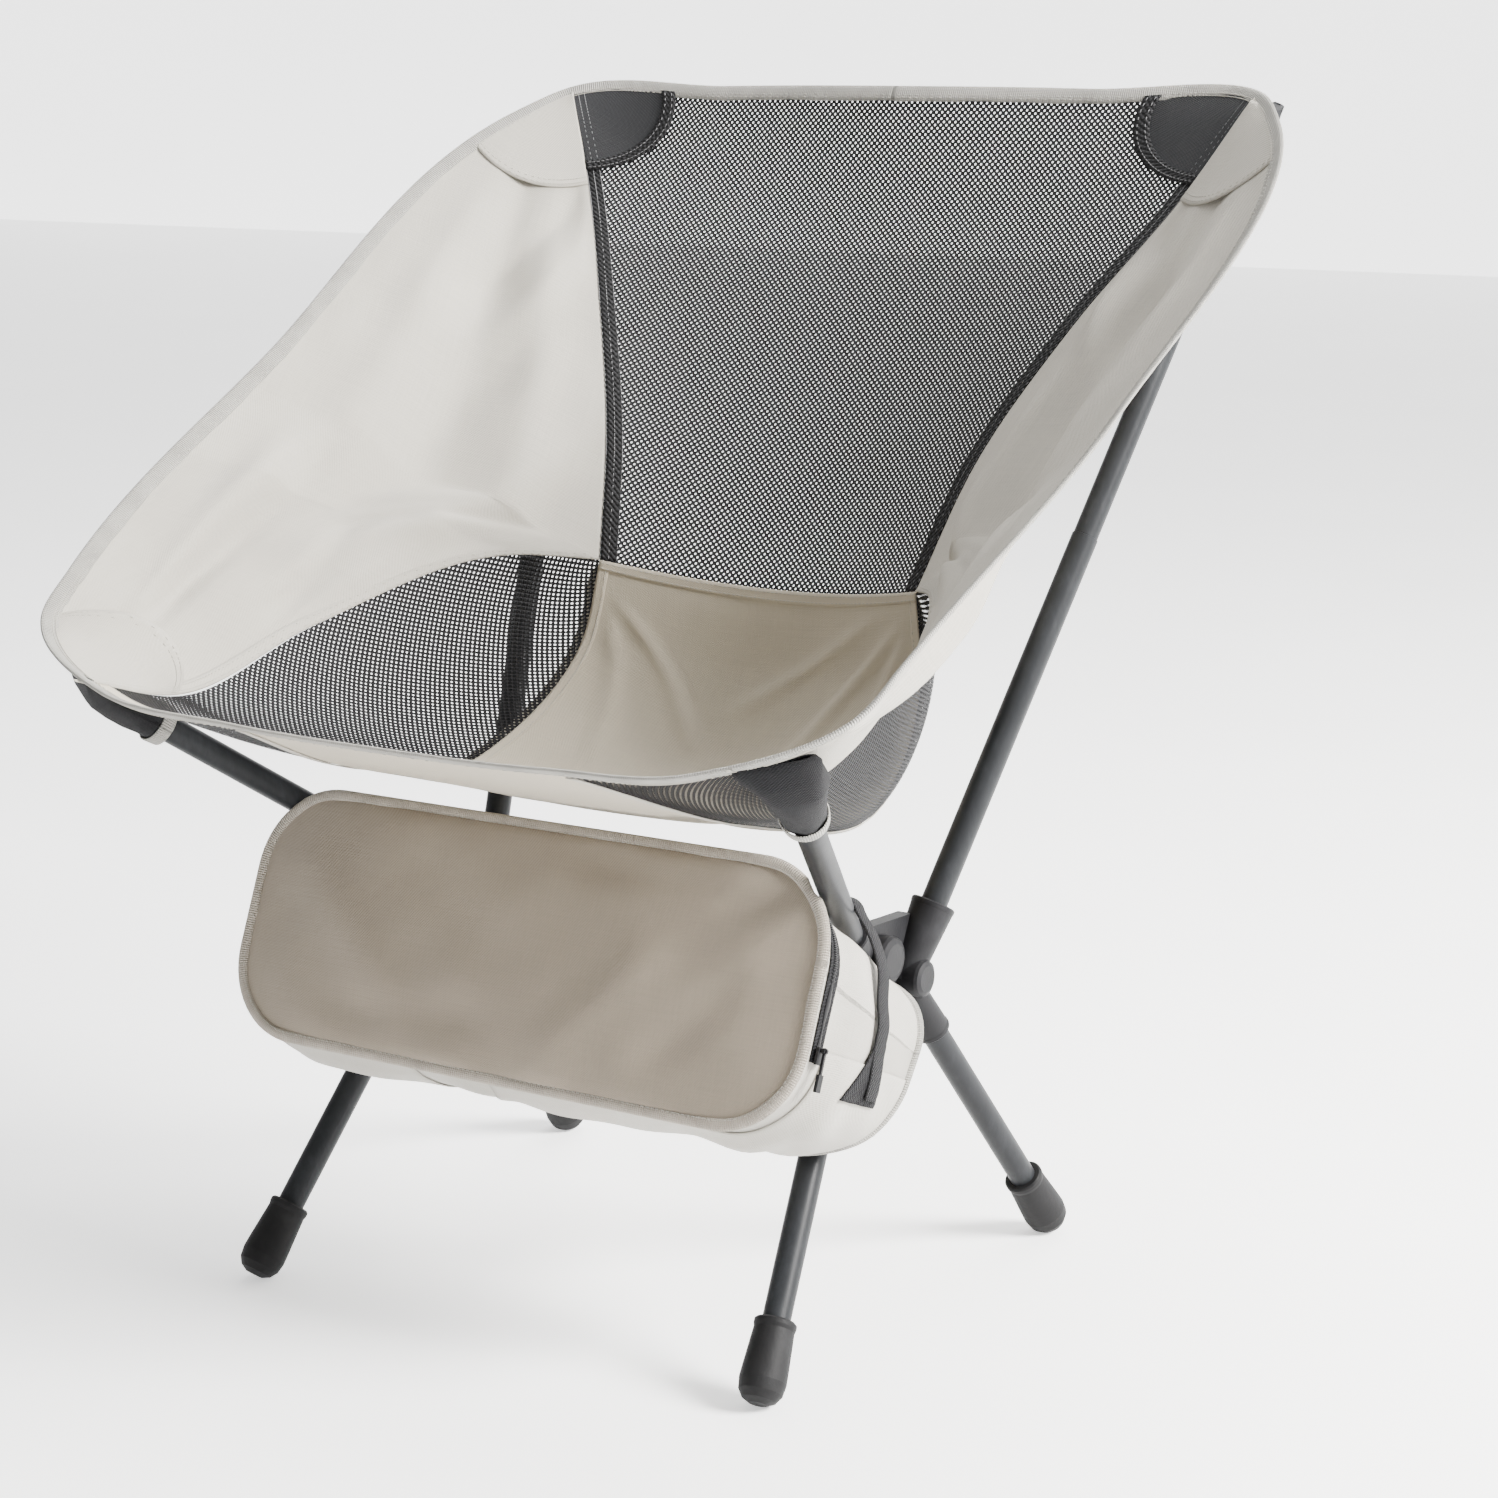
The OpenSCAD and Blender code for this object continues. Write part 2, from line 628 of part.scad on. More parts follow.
bag_back_panel();
bag_gusset();
bag_binding_front();
bag_binding_back();
bag_zip();
zip_slider();
zip_pull();
bag_strap("left");  // bag_strap_left
bag_strap("right");  // bag_strap_right
strap_tab("left");  // strap_tab_left
strap_tab("right");  // strap_tab_right
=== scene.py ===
import math

import bpy
import numpy as np
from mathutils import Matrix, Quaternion, Vector


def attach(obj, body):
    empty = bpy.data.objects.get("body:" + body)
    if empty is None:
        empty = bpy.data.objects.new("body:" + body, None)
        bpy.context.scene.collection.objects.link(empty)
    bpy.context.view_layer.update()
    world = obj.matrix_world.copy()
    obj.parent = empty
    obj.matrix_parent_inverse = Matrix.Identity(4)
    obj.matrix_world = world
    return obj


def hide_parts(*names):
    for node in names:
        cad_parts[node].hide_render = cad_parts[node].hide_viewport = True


# A low camp chair: bucket sling of cloth and mesh on a pole frame, its storage bag hung in front.
# Metres. +Z is up, the sitter faces -Y, and X = 0 is the plane of symmetry.

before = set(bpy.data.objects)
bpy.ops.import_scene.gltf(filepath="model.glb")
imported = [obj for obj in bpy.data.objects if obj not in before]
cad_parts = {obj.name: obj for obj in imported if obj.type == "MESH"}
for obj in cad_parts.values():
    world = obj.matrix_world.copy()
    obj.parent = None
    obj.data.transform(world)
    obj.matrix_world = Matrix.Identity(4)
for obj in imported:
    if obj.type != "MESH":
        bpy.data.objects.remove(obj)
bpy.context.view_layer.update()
MM = 0.001
SLING = "frame_and_sling"
FLIP = np.array((-1, 1, 1))


def span(low, high, count):
    return np.linspace(low, high, count)


def mm(*points):
    """Points given in millimetres, as an array in metres."""
    return np.array(points, float) * MM


# ---- Camera, light and floor ----

AZIMUTH, ELEVATION, ROLL = math.radians(32.94), math.radians(12.82), math.radians(-0.36)
CAMERA_AT = (1.0206, -1.491, 0.6925)
LIT_AT = (0, 0, 0.4)
backward = Vector((
    math.sin(AZIMUTH) * math.cos(ELEVATION),
    -math.cos(AZIMUTH) * math.cos(ELEVATION),
    math.sin(ELEVATION),
))
camera = bpy.data.objects.new("camera", bpy.data.cameras.new("camera"))
bpy.context.scene.collection.objects.link(camera)
bpy.context.scene.camera = camera
camera.location = CAMERA_AT
camera.rotation_mode = "QUATERNION"
camera.rotation_quaternion = (-backward).to_track_quat("-Z", "Y") @ Quaternion((0, 0, 1), ROLL)
camera.data.lens = 79.63
camera.data.sensor_width = 36
camera.data.shift_x = -0.0025
camera.data.shift_y = 0.0121


def area_light(name, place, size, power, colour=(1, 1, 1)):
    """A square light that shines from place at the middle of the chair."""
    lamp = bpy.data.lights.new(name, "AREA")
    lamp.shape = "SQUARE"
    lamp.size, lamp.energy, lamp.color = size, power, colour
    obj = bpy.data.objects.new(name, lamp)
    bpy.context.scene.collection.objects.link(obj)
    obj.location = place
    obj.rotation_mode = "QUATERNION"
    obj.rotation_quaternion = (Vector(LIT_AT) - Vector(place)).to_track_quat("-Z", "Y")


area_light("key", (2.3, 0.5, 1.7), 1.1, 460, (1, 0.985, 0.965))
area_light("top", (-0.3, 0.7, 2.6), 1.5, 70)

world = bpy.data.worlds.new("studio")
world.use_nodes = True
world.node_tree.nodes["Background"].inputs["Color"].default_value = (1, 1, 1, 1)
world.node_tree.nodes["Background"].inputs["Strength"].default_value = 0.62
bpy.context.scene.world = world


# ---- Materials ----


class Shader:
    """A Principled material being built from nodes."""

    def __init__(self, name, rough=0.8, metallic=0.0, specular=0.5, sheen=0.0):
        self.mat = bpy.data.materials.new(name)
        self.mat.use_nodes = True
        self.nodes, self.links = self.mat.node_tree.nodes, self.mat.node_tree.links
        self.bsdf = self.nodes["Principled BSDF"]
        self.bsdf.inputs["Roughness"].default_value = rough
        self.bsdf.inputs["Metallic"].default_value = metallic
        self.bsdf.inputs["Specular IOR Level"].default_value = specular
        self.bsdf.inputs["Sheen Weight"].default_value = sheen
        self.bump_from = None

    def node(self, kind, **values):
        """A node; values are its properties, or its inputs where the name is an input's."""
        n = self.nodes.new(kind)
        for key, value in values.items():
            if key in n.inputs:
                n.inputs[key].default_value = value
            else:
                setattr(n, key, value)
        return n

    def put(self, target, source):
        """Sets an input from a socket or a plain value."""
        if isinstance(source, bpy.types.NodeSocket):
            self.links.new(source, target)
        else:
            target.default_value = source

    def math(self, operation, a, b=0.0, c=0.0):
        n = self.node("ShaderNodeMath", operation=operation)
        for target, source in zip(n.inputs, (a, b, c)):
            self.put(target, source)
        return n.outputs[0]

    def vector(self, operation, a, b=(0, 0, 0)):
        n = self.node("ShaderNodeVectorMath", operation=operation)
        self.put(n.inputs[0], a)
        self.put(n.inputs[1], b)
        return n.outputs["Value"] if operation == "LENGTH" else n.outputs[0]

    def place(self, source="UV", stretch=(1, 1, 1)):
        """Coordinates in metres, times stretch."""
        out = self.node("ShaderNodeTexCoord").outputs[source]
        return self.vector("MULTIPLY", out, stretch)

    def noise(self, at, scale, detail=3.0, rough=0.5):
        n = self.node("ShaderNodeTexNoise", Scale=scale, Detail=detail, Roughness=rough)
        self.links.new(at, n.inputs["Vector"])
        return n.outputs["Fac"]

    def colours(self, fac, *stops):
        """Colour ramp with (position, (r, g, b)) stops."""
        ramp = self.node("ShaderNodeValToRGB")
        while len(ramp.color_ramp.elements) < len(stops):
            ramp.color_ramp.elements.new(0.5)
        for element, (position, rgb) in zip(ramp.color_ramp.elements, stops):
            element.position = position
            element.color = (*rgb, 1)
        self.links.new(fac, ramp.inputs["Fac"])
        return ramp.outputs["Color"]

    def colour(self, source):
        self.put(self.bsdf.inputs["Base Color"], source)

    def roughness(self, fac, low, high):
        n = self.node("ShaderNodeMapRange")
        n.inputs["To Min"].default_value, n.inputs["To Max"].default_value = low, high
        self.links.new(fac, n.inputs["Value"])
        self.links.new(n.outputs[0], self.bsdf.inputs["Roughness"])

    def bump(self, height, distance, strength=1.0):
        n = self.node("ShaderNodeBump", Strength=strength, Distance=distance)
        self.links.new(height, n.inputs["Height"])
        if self.bump_from:
            self.links.new(self.bump_from, n.inputs["Normal"])
        self.bump_from = n.outputs[0]
        self.links.new(self.bump_from, self.bsdf.inputs["Normal"])


def waves(shader, uv, pitch_u, pitch_v):
    """Two sine waves, along u and v."""
    turns = shader.vector("MULTIPLY", uv, (2 * math.pi / pitch_u, 2 * math.pi / pitch_v, 0))
    split = shader.node("ShaderNodeSeparateXYZ")
    shader.links.new(turns, split.inputs[0])
    return [shader.math("SINE", split.outputs[k]) for k in (0, 1)]


def shaded(rgb, k):
    return tuple(c * k for c in rgb)


def woven(name, rgb, pitch=0.0011, rough=0.82, sheen=0.15, depth=0.00016):
    """Plain weave with slubs, faint streaks along both threads, a little soiling, and painted shade: the
    sunken thread crossings painted darker than the raised ones.
    """
    s = Shader(name, rough=rough, specular=0.15, sheen=sheen)
    uv = s.place()
    a, b = waves(s, uv, pitch, pitch)
    weave = s.math("MULTIPLY", a, b)
    warp = s.noise(s.place(stretch=(900, 25, 1)), 1.0, 2)
    weft = s.noise(s.place(stretch=(25, 900, 1)), 1.0, 2)
    slub = s.math("ADD", warp, weft)
    patchy = s.noise(s.place("Object"), 9.0, 3)
    # painted shade: the weave's height goes into the colour, its sunken crossings darker; the patchy noise
    # adds soiling
    weave_shade_and_soiling = s.math("MULTIPLY_ADD", weave, 0.05, s.math("MULTIPLY", patchy, 0.36))
    tone = s.math("MULTIPLY_ADD", slub, 0.32, weave_shade_and_soiling)
    s.colour(s.colours(tone, (0.3, shaded(rgb, 0.9)), (0.5, rgb), (0.7, shaded(rgb, 1.06))))
    s.roughness(slub, rough - 0.08, rough + 0.1)
    s.bump(weave, depth)
    s.bump(slub, 0.00025, 0.5)
    return s.mat


def ribbed_tape(name, rgb, pitch=0.0013, rough=0.75):
    """Grosgrain: ribs across the tape, seen as short cords, with painted shade in the grooves between the
    ribs.
    """
    s = Shader(name, rough=rough, specular=0.3, sheen=0.1)
    uv = s.place()
    a, b = waves(s, uv, pitch, pitch * 0.8)
    rib = s.math("MULTIPLY_ADD", b, 0.25, a)
    wear = s.noise(s.place(stretch=(60, 60, 60)), 1.0, 3)
    # painted shade: the ribs' height goes into the colour, the grooves darker; the wear noise is uneven
    # tone
    tone = s.math("MULTIPLY_ADD", rib, 0.12, wear)
    s.colour(s.colours(tone, (0.3, shaded(rgb, 0.82)), (0.5, rgb), (0.72, shaded(rgb, 1.1))))
    s.roughness(wear, rough - 0.06, rough + 0.1)
    s.bump(rib, 0.0003)
    return s.mat


def open_mesh(name, rgb, pitch=0.0038, hole=0.00074):
    """Knitted net: staggered see-through holes, the threads between them rounded, with painted shade
    darkening each thread towards the holes.
    """
    s = Shader(name, rough=0.6, specular=0.15)
    uv = s.place(stretch=(1 / pitch, 1 / pitch, 1))
    near = []
    for shift in (0.0, 0.5):
        cell = s.vector("FRACTION", s.vector("ADD", uv, (shift, shift, 0)))
        near.append(s.vector("LENGTH", s.vector("SUBTRACT", cell, (0.5, 0.5, 0))))
    distance = s.math("MULTIPLY", s.math("MINIMUM", *near), pitch)
    if hole:
        edge = s.node("ShaderNodeMapRange", interpolation_type="SMOOTHSTEP")
        s.links.new(distance, edge.inputs["Value"])
        edge.inputs["From Min"].default_value = hole * 0.9
        edge.inputs["From Max"].default_value = hole * 1.1
        s.links.new(edge.outputs[0], s.bsdf.inputs["Alpha"])
    fuzz = s.noise(s.place(stretch=(1500, 1500, 1)), 1.0, 2)
    # painted shade: the colour darkens nearer each hole's centre, on the threads' rounded sides; the fuzz
    # noise is uneven tone
    tone = s.math("MULTIPLY_ADD", distance, 250.0, s.math("MULTIPLY", fuzz, 0.5))
    s.colour(s.colours(tone, (0.25, shaded(rgb, 0.35)), (0.6, rgb), (0.9, shaded(rgb, 1.7))))
    s.bump(distance, 0.6)
    return s.mat


def webbing(name, rgb, pitch=0.0017):
    """Close plain-woven strap or cord cover, its high threads painted lighter as a painted highlight on
    the weave.
    """
    s = Shader(name, rough=0.65, specular=0.15)
    a, b = waves(s, s.place(), pitch, pitch * 1.3)
    weave = s.math("MULTIPLY", a, b)
    fuzz = s.noise(s.place(stretch=(700, 700, 1)), 1.0, 3)
    # painted highlight: the weave's height goes into the colour, the high threads much lighter; the fuzz
    # noise is uneven tone
    tone = s.math("MULTIPLY_ADD", weave, 0.25, fuzz)
    s.colour(s.colours(tone, (0.3, shaded(rgb, 0.5)), (0.55, rgb), (0.8, shaded(rgb, 2.6))))
    s.roughness(fuzz, 0.5, 0.75)
    s.bump(weave, 0.0004)
    return s.mat


def anodised(name, rgb, rough=0.38, metallic=0.0):
    """Satin tube: a fine bumpy grain, small scuffs, slightly uneven dye."""
    s = Shader(name, rough=rough, metallic=metallic, specular=0.14)
    at = s.place("Object")
    grain = s.noise(at, 1400.0, 2)
    cloud = s.noise(at, 30.0, 3)
    scuff = s.noise(s.vector("MULTIPLY", at, (260, 260, 60)), 1.0, 4, 0.7)
    s.colour(s.colours(s.math("MULTIPLY_ADD", scuff, 0.5, s.math("MULTIPLY", cloud, 0.5)),
                       (0.3, shaded(rgb, 0.8)), (0.5, rgb), (0.68, shaded(rgb, 1.5))))
    s.roughness(cloud, rough - 0.07, rough + 0.12)
    s.bump(grain, 0.00004)
    return s.mat


def moulded(name, rgb, rough=0.5, grain=700.0, depth=0.00008):
    """Fine-grained plastic or rubber with dusty patches."""
    s = Shader(name, rough=rough, specular=0.13)
    at = s.place("Object")
    fine = s.noise(at, grain, 3)
    dust = s.noise(at, 35.0, 4, 0.6)
    s.colour(s.colours(dust, (0.3, shaded(rgb, 0.8)), (0.55, rgb), (0.8, shaded(rgb, 1.9))))
    s.roughness(dust, rough - 0.08, rough + 0.15)
    s.bump(fine, depth)
    return s.mat


def thread(name, rgb):
    """Twisted sewing thread."""
    s = Shader(name, rough=0.7, specular=0.3)
    at = s.place("Object")
    twist = s.noise(at, 1800.0, 2)
    s.colour(s.colours(twist, (0.3, shaded(rgb, 0.75)), (0.6, rgb)))
    s.bump(twist, 0.0001)
    return s.mat


def backdrop(name, rough, specular, scale, glow):
    """Near-white studio surface that also glows a little, to read as bright paper."""
    s = Shader(name, rough=rough, specular=specular)
    cloud = s.noise(s.place("Object"), scale)
    s.colour(s.colours(cloud, (0.3, (0.86, 0.86, 0.86)), (0.7, (0.9, 0.9, 0.9))))
    s.bsdf.inputs["Emission Color"].default_value = (1, 1, 1, 1)
    s.bsdf.inputs["Emission Strength"].default_value = glow
    return s.mat


cloth_side = woven("cloth_side", (0.43, 0.405, 0.352))
cloth_seat = woven("cloth_seat", (0.47, 0.42, 0.33))
# painted shade: the bag's front and back panels use the bag cloth painted darker than the gusset's, for
# the shade that falls on them
cloth_bag_painted_shade = woven("cloth_bag_painted_shade", (0.245, 0.206, 0.157), rough=0.55)
cloth_gusset = woven("cloth_gusset", (0.42, 0.40, 0.355), rough=0.5)
cloth_dark = woven("cloth_dark", (0.016, 0.0165, 0.0185), sheen=0.1)
cloth_black = woven("cloth_black", (0.008, 0.008, 0.009), sheen=0.05)
tape_beige = ribbed_tape("tape_beige", (0.32, 0.31, 0.28))
tape_bag = ribbed_tape("tape_bag", (0.36, 0.32, 0.265))
net_tape = open_mesh("net_tape", (0.014, 0.014, 0.015), hole=0)
net_black = open_mesh("net_black", (0.010, 0.010, 0.011))
strap_black = webbing("strap_black", (0.009, 0.009, 0.010))
tube_dark = anodised("tube_dark", (0.013, 0.014, 0.0155))
bare_metal = anodised("bare_metal", (0.45, 0.45, 0.46), 0.3, 0.9)
plastic_black = moulded("plastic_black", (0.009, 0.009, 0.010), 0.45)
rubber_black = moulded("rubber_black", (0.010, 0.010, 0.0105), 0.55, 500.0, 0.00015)
lacquer_black = moulded("lacquer_black", (0.012, 0.012, 0.013), 0.3, 300.0, 0.00003)
cord_grey = webbing("cord_grey", (0.05, 0.05, 0.055), 0.0009)
thread_light = thread("thread_light", (0.42, 0.40, 0.35))
thread_grey = thread("thread_grey", (0.16, 0.16, 0.165))
floor_paint = backdrop("floor_paint", 0.85, 0.2, 3.0, 0.8)
wall_paint = backdrop("wall_paint", 0.9, 0.1, 2.0, 2.0)


# ---- Meshes ----


def grid_normals(g):
    """Unit normals of a grid of points, by its rows and columns."""
    down, over = np.gradient(g, axis=0), np.gradient(g, axis=1)
    n = np.cross(down, over)
    return n / np.maximum(np.linalg.norm(n, axis=2, keepdims=True), 1e-12)


def grid_uv(g):
    """Metres along the cloth: across from the middle column, and down the middle column."""
    steps = np.linalg.norm(np.diff(g, axis=1), axis=2)
    across = np.concatenate([np.zeros((len(g), 1)), np.cumsum(steps, axis=1)], axis=1)
    middle = g.shape[1] // 2
    across -= across[:, middle:middle + 1]
    drop = np.r_[0, np.cumsum(np.linalg.norm(np.diff(g[:, middle], axis=0), axis=1))]
    return np.stack([across, np.broadcast_to(drop[:, None], across.shape)], axis=2)


def piece(name, points, faces, material, body=SLING, uv=None, replaces=()):
    """A mesh in the row frame, riding on a body."""
    mesh = bpy.data.meshes.new(name)
    mesh.from_pydata(np.asarray(points).reshape(-1, 3).tolist(), [], faces)
    if uv is not None:
        corner = np.empty(len(mesh.loops), np.int32)
        mesh.loops.foreach_get("vertex_index", corner)
        layer = mesh.uv_layers.new(name="cloth")
        layer.data.foreach_set("uv", np.asarray(uv, np.float32).reshape(-1, 2)[corner].ravel())
    mesh.materials.append(material)
    mesh.shade_smooth()
    obj = bpy.data.objects.new(name, mesh)
    bpy.context.scene.collection.objects.link(obj)
    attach(obj, body)
    if replaces:
        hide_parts(*replaces)
    return obj


def sheet_faces(m, n):
    """Faces of a closed sheet made of two m by n grids, the second one the front."""
    i, j = np.meshgrid(np.arange(m - 1), np.arange(n - 1), indexing="ij")
    a = (i * n + j).ravel()
    back = np.stack([a, a + n, a + n + 1, a + 1], axis=1)
    front = back[:, ::-1] + m * n
    rim = np.r_[np.arange(n), np.arange(1, m) * n + n - 1, (m - 1) * n + np.arange(n - 2, -1, -1),
                np.arange(m - 2, 0, -1) * n]
    after = np.roll(rim, -1)
    sides = np.stack([rim, after, after + m * n, rim + m * n], axis=1)
    return np.concatenate([back, front, sides]).tolist()


def sheet(name, g, thickness, material, body=SLING, replaces=(), uv=None):
    """A closed sheet of cloth through a grid of points."""
    n = grid_normals(g) * thickness / 2
    flat = grid_uv(g) if uv is None else uv
    faces = sheet_faces(*g.shape[:2])
    return piece(name, np.concatenate([g - n, g + n]).reshape(-1, 3), faces, material, body,
                 np.concatenate([flat, flat]).reshape(-1, 2), replaces)


def hoop(name, rings, material, body=SLING, replaces=(), closed=True):
    """A tube through rings of points; closed joins the last ring to the first."""
    m, n = rings.shape[:2]
    faces = []
    for i in range(m if closed else m - 1):
        for j in range(n):
            a, b = i * n, (i + 1) % m * n
            faces.append((a + j, a + (j + 1) % n, b + (j + 1) % n, b + j))
    if not closed:
        faces += [tuple(range(n))[::-1], tuple(range((m - 1) * n, m * n))]
    along = np.r_[0, np.cumsum(np.linalg.norm(np.diff(rings.mean(1), axis=0), axis=1))]
    around = np.r_[0, np.cumsum(np.linalg.norm(np.diff(rings[0], axis=0), axis=1))]
    uv = np.stack(np.meshgrid(along, around, indexing="ij"), axis=2)
    return piece(name, rings, faces, material, body, uv, replaces)


def left_rings(rings, name):
    """The rings for the named side, mirrored for the left and turned to keep their outside out."""
    return (rings * FLIP)[:, ::-1] if name == "left" else rings


def mirrored(g):
    """The left-hand copy of a right-hand grid, turned so that its front stays its front."""
    return (g * FLIP)[:, ::-1]


def resample(path, count):
    """The same path in equal steps."""
    d = np.r_[0, np.cumsum(np.linalg.norm(np.diff(path, axis=0), axis=1))]
    at = np.linspace(0, d[-1], count)
    return np.stack([np.interp(at, d, path[:, k]) for k in range(path.shape[1])], axis=1)


STITCH_PITCH, STITCH_LENGTH, STITCH_R = 3.1 * MM, 2.4 * MM, 0.27 * MM


def stitch_rows(name, rows, material, body=SLING):
    """Rows of thread stitches. A row is (points, normals), the points in order along the seam."""
    ring = [(0, 1), (1, 0), (0, -1), (-1, 0)]
    points, faces = [], []
    for path, normal in rows:
        length = np.linalg.norm(np.diff(path, axis=0), axis=1).sum()
        count = max(int(length / STITCH_PITCH), 2)
        both = resample(np.concatenate([path, normal], axis=1), 2 * count + 1)
        p, up = both[1::2, :3], both[1::2, 3:]
        along = both[2::2, :3] - both[0:-1:2, :3]
        along /= np.linalg.norm(along, axis=1, keepdims=True)
        up /= np.linalg.norm(up, axis=1, keepdims=True)
        side = np.cross(along, up)
        for c, t, u, s in zip(p, along, up, side):
            k = len(points)
            points.append(c - t * STITCH_LENGTH / 2 - u * STITCH_R)
            for end in (-0.3, 0.3):
                points += [c + t * STITCH_LENGTH * end + (s * x + u * y) * STITCH_R for x, y in ring]
            points.append(c + t * STITCH_LENGTH / 2 - u * STITCH_R)
            for j in range(4):
                q = (j + 1) % 4
                faces += [(k, k + 1 + q, k + 1 + j), (k + 1 + j, k + 1 + q, k + 5 + q, k + 5 + j),
                          (k + 9, k + 5 + j, k + 5 + q)]
    return piece(name, points, faces, material, body)


def smooth01(x):
    x = np.clip(x, 0, 1)
    return x * x * (3 - 2 * x)


def folds(u, v, rows):
    """Height of soft folds over a cloth at (u, v); a row is (u0, v0, u1, v1, width, height)."""
    total = np.zeros(np.broadcast(u, v).shape)
    for u0, v0, u1, v1, width, height in rows:
        du, dv = u1 - u0, v1 - v0
        run = np.hypot(du, dv)
        t = ((u - u0) * du + (v - v0) * dv) / run ** 2
        off = ((u - u0) * dv - (v - v0) * du) / run
        ends = smooth01(t / 0.3) * smooth01((1 - t) / 0.3)
        total = total + height * ends * np.exp(-(off / width) ** 2)
    return total


def ripple(g, seed, size, height):
    """Small uneven hollows, from seeded waves through space."""
    rng = np.random.default_rng(seed)
    total = np.zeros(g.shape[:2])
    for _ in range(9):
        wave = rng.normal(size=3)
        wave *= 2 * math.pi / size / np.linalg.norm(wave) * rng.uniform(0.6, 1.6)
        total += np.sin(g @ wave + rng.uniform(0, 6.28))
    return total * height / 3


# ---- The sling's lines, as in the CAD ----

RIM_HALF = mm((0, 249, 650), (125, 254, 649), (242, 241, 646), (260, 218, 634), (280, -9, 498),
              (264, -194, 399), (259, -220, 381), (187, -255, 350), (100, -254, 342), (0, -250, 339))
FACING_HALF = mm((0, 160, 480), (90, 155, 480), (150, 160, 500), (140, 140, 480), (108, 86, 378),
                 (180, -90, 340), (160, -160, 310), (130, -170, 300), (70, -160, 300), (0, -160, 300))
BACK_SEAM = mm((234, 241, 645), (205, 216, 592), (162, 166, 521), (126, 120, 446), (108, 86, 378))
SIDE_SEAM = mm((108, 86, 378), (142, 42, 384), (190, -75, 357), (201, -175, 333), (205, -254, 354))
SEAT_SEAM = mm((108, 86, 378), (116, 78, 330), (133, -5, 272), (126, -118, 290), (96, -252, 342))
SEAT_MIDDLE = mm((0, 110, 366), (0, 98, 312), (0, 56, 262), (0, 0, 258), (0, -130, 292), (0, -250, 339))
RIM_START, RIM_END, FRONT_SEAM = 1.95, 6.85, 8
PANEL_RIM = (0, 0.05, 0.5, 0.83, 0.88, 1), (RIM_START, 3, 4.1, 5, 6, RIM_END)
BINDING_W = 9 * MM
CLOTH_T = 0.7 * MM


def curve(points, u):
    """Smooth path through points, u counted in points, weighted by the chords at each point."""
    u = np.asarray(u, float)
    gap = np.diff(points, axis=0)
    d = np.linalg.norm(gap, axis=1)[:, None]
    run = gap / d
    slope = np.concatenate([run[:1], (run[:-1] * d[1:] + run[1:] * d[:-1]) / (d[1:] + d[:-1]), run[-1:]])
    i = np.clip(np.floor(u).astype(int), 0, len(points) - 2)
    t = (u - i)[..., None]
    return ((2 * t**3 - 3 * t**2 + 1) * points[i] + (t**3 - 2 * t**2 + t) * d[i] * slope[i]
            + (3 * t**2 - 2 * t**3) * points[i + 1] + (t**3 - t**2) * d[i] * slope[i + 1])


def looped(half):
    """A closed line from its right half, with the neighbours that curve() needs at both ends."""
    ring = np.concatenate([half, half[-2:0:-1] * FLIP])
    return np.concatenate([ring[-1:], ring, ring[:2]])


RIM, FACING = looped(RIM_HALF), looped(FACING_HALF)
RIM_STEPS = 2 * (len(RIM_HALF) - 1)


def unit(v):
    return v / np.linalg.norm(v, axis=-1, keepdims=True)


def rim(u):
    return curve(RIM, np.mod(u, RIM_STEPS) + 1)


def rim_tangent(u):
    return unit(rim(np.asarray(u) + 0.02) - rim(np.asarray(u) - 0.02))


def rim_inward(u):
    d = curve(FACING, np.mod(u, RIM_STEPS) + 1) - rim(u)
    t = rim_tangent(u)
    return unit(d - t * (d * t).sum(-1, keepdims=True))


def rim_inner(u, inset=BINDING_W * 0.75):
    return rim(u) + rim_inward(u) * inset


def mix(a, b, t):
    """From a to b by the fraction t."""
    t = np.asarray(t)[..., None]
    return a * (1 - t) + b * t


def row_point(a, b, bend, s):
    """From a to b by the fraction s, bowed by bend at the middle."""
    return mix(a, b, s) + bend * (4 * s * (1 - s))[..., None]


def back(s, t):
    """Back mesh: s from the right seam to the left one, t from the top edge to the seat."""
    def bend(t):
        dome = np.sin(np.pi * t)
        return np.stack([0 * t, 8 + 16 * t + 6 * dome, 4 - 16 * t - 6 * dome], axis=-1) * MM
    s, t = np.broadcast_arrays(s, t)
    a, top = curve(BACK_SEAM, 4 * t), BACK_SEAM[0]
    flat_top = row_point(top, top * FLIP, bend(0.0 * t), s)
    pull = rim_inner((1 - 2 * s) * RIM_START) - flat_top
    return row_point(a, a * FLIP, bend(t), s) + pull * ((1 - t) ** 5)[..., None]


def seat(s, t):
    """Seat panel: s from the right seam to the left one, t from the back mesh to the front edge."""
    s, t = np.broadcast_arrays(s, t)
    a, middle = curve(SEAT_SEAM, 4 * t), curve(SEAT_MIDDLE, 5 * t)
    front = SEAT_SEAM[4]
    flat_front = row_point(front, front * FLIP, SEAT_MIDDLE[5] - front * (0, 1, 1), s)
    pull = rim_inner(FRONT_SEAM + 2 * s) - flat_front
    return row_point(a, a * FLIP, middle - (a + a * FLIP) / 2, s) + pull * (t**6)[..., None]


def side(v, w):
    """Right side panel: v from the top corner to the front corner, w from the rim to the seams."""
    v, w = np.broadcast_arrays(v, w)
    seam = np.where((v < 0.5)[..., None], curve(BACK_SEAM, 8 * np.minimum(v, 0.5)),
                    curve(SIDE_SEAM, 8 * np.maximum(v, 0.5) - 4))
    return mix(rim_inner(np.interp(v, *PANEL_RIM)), seam, w)


LENS_BULGE = 11 * MM


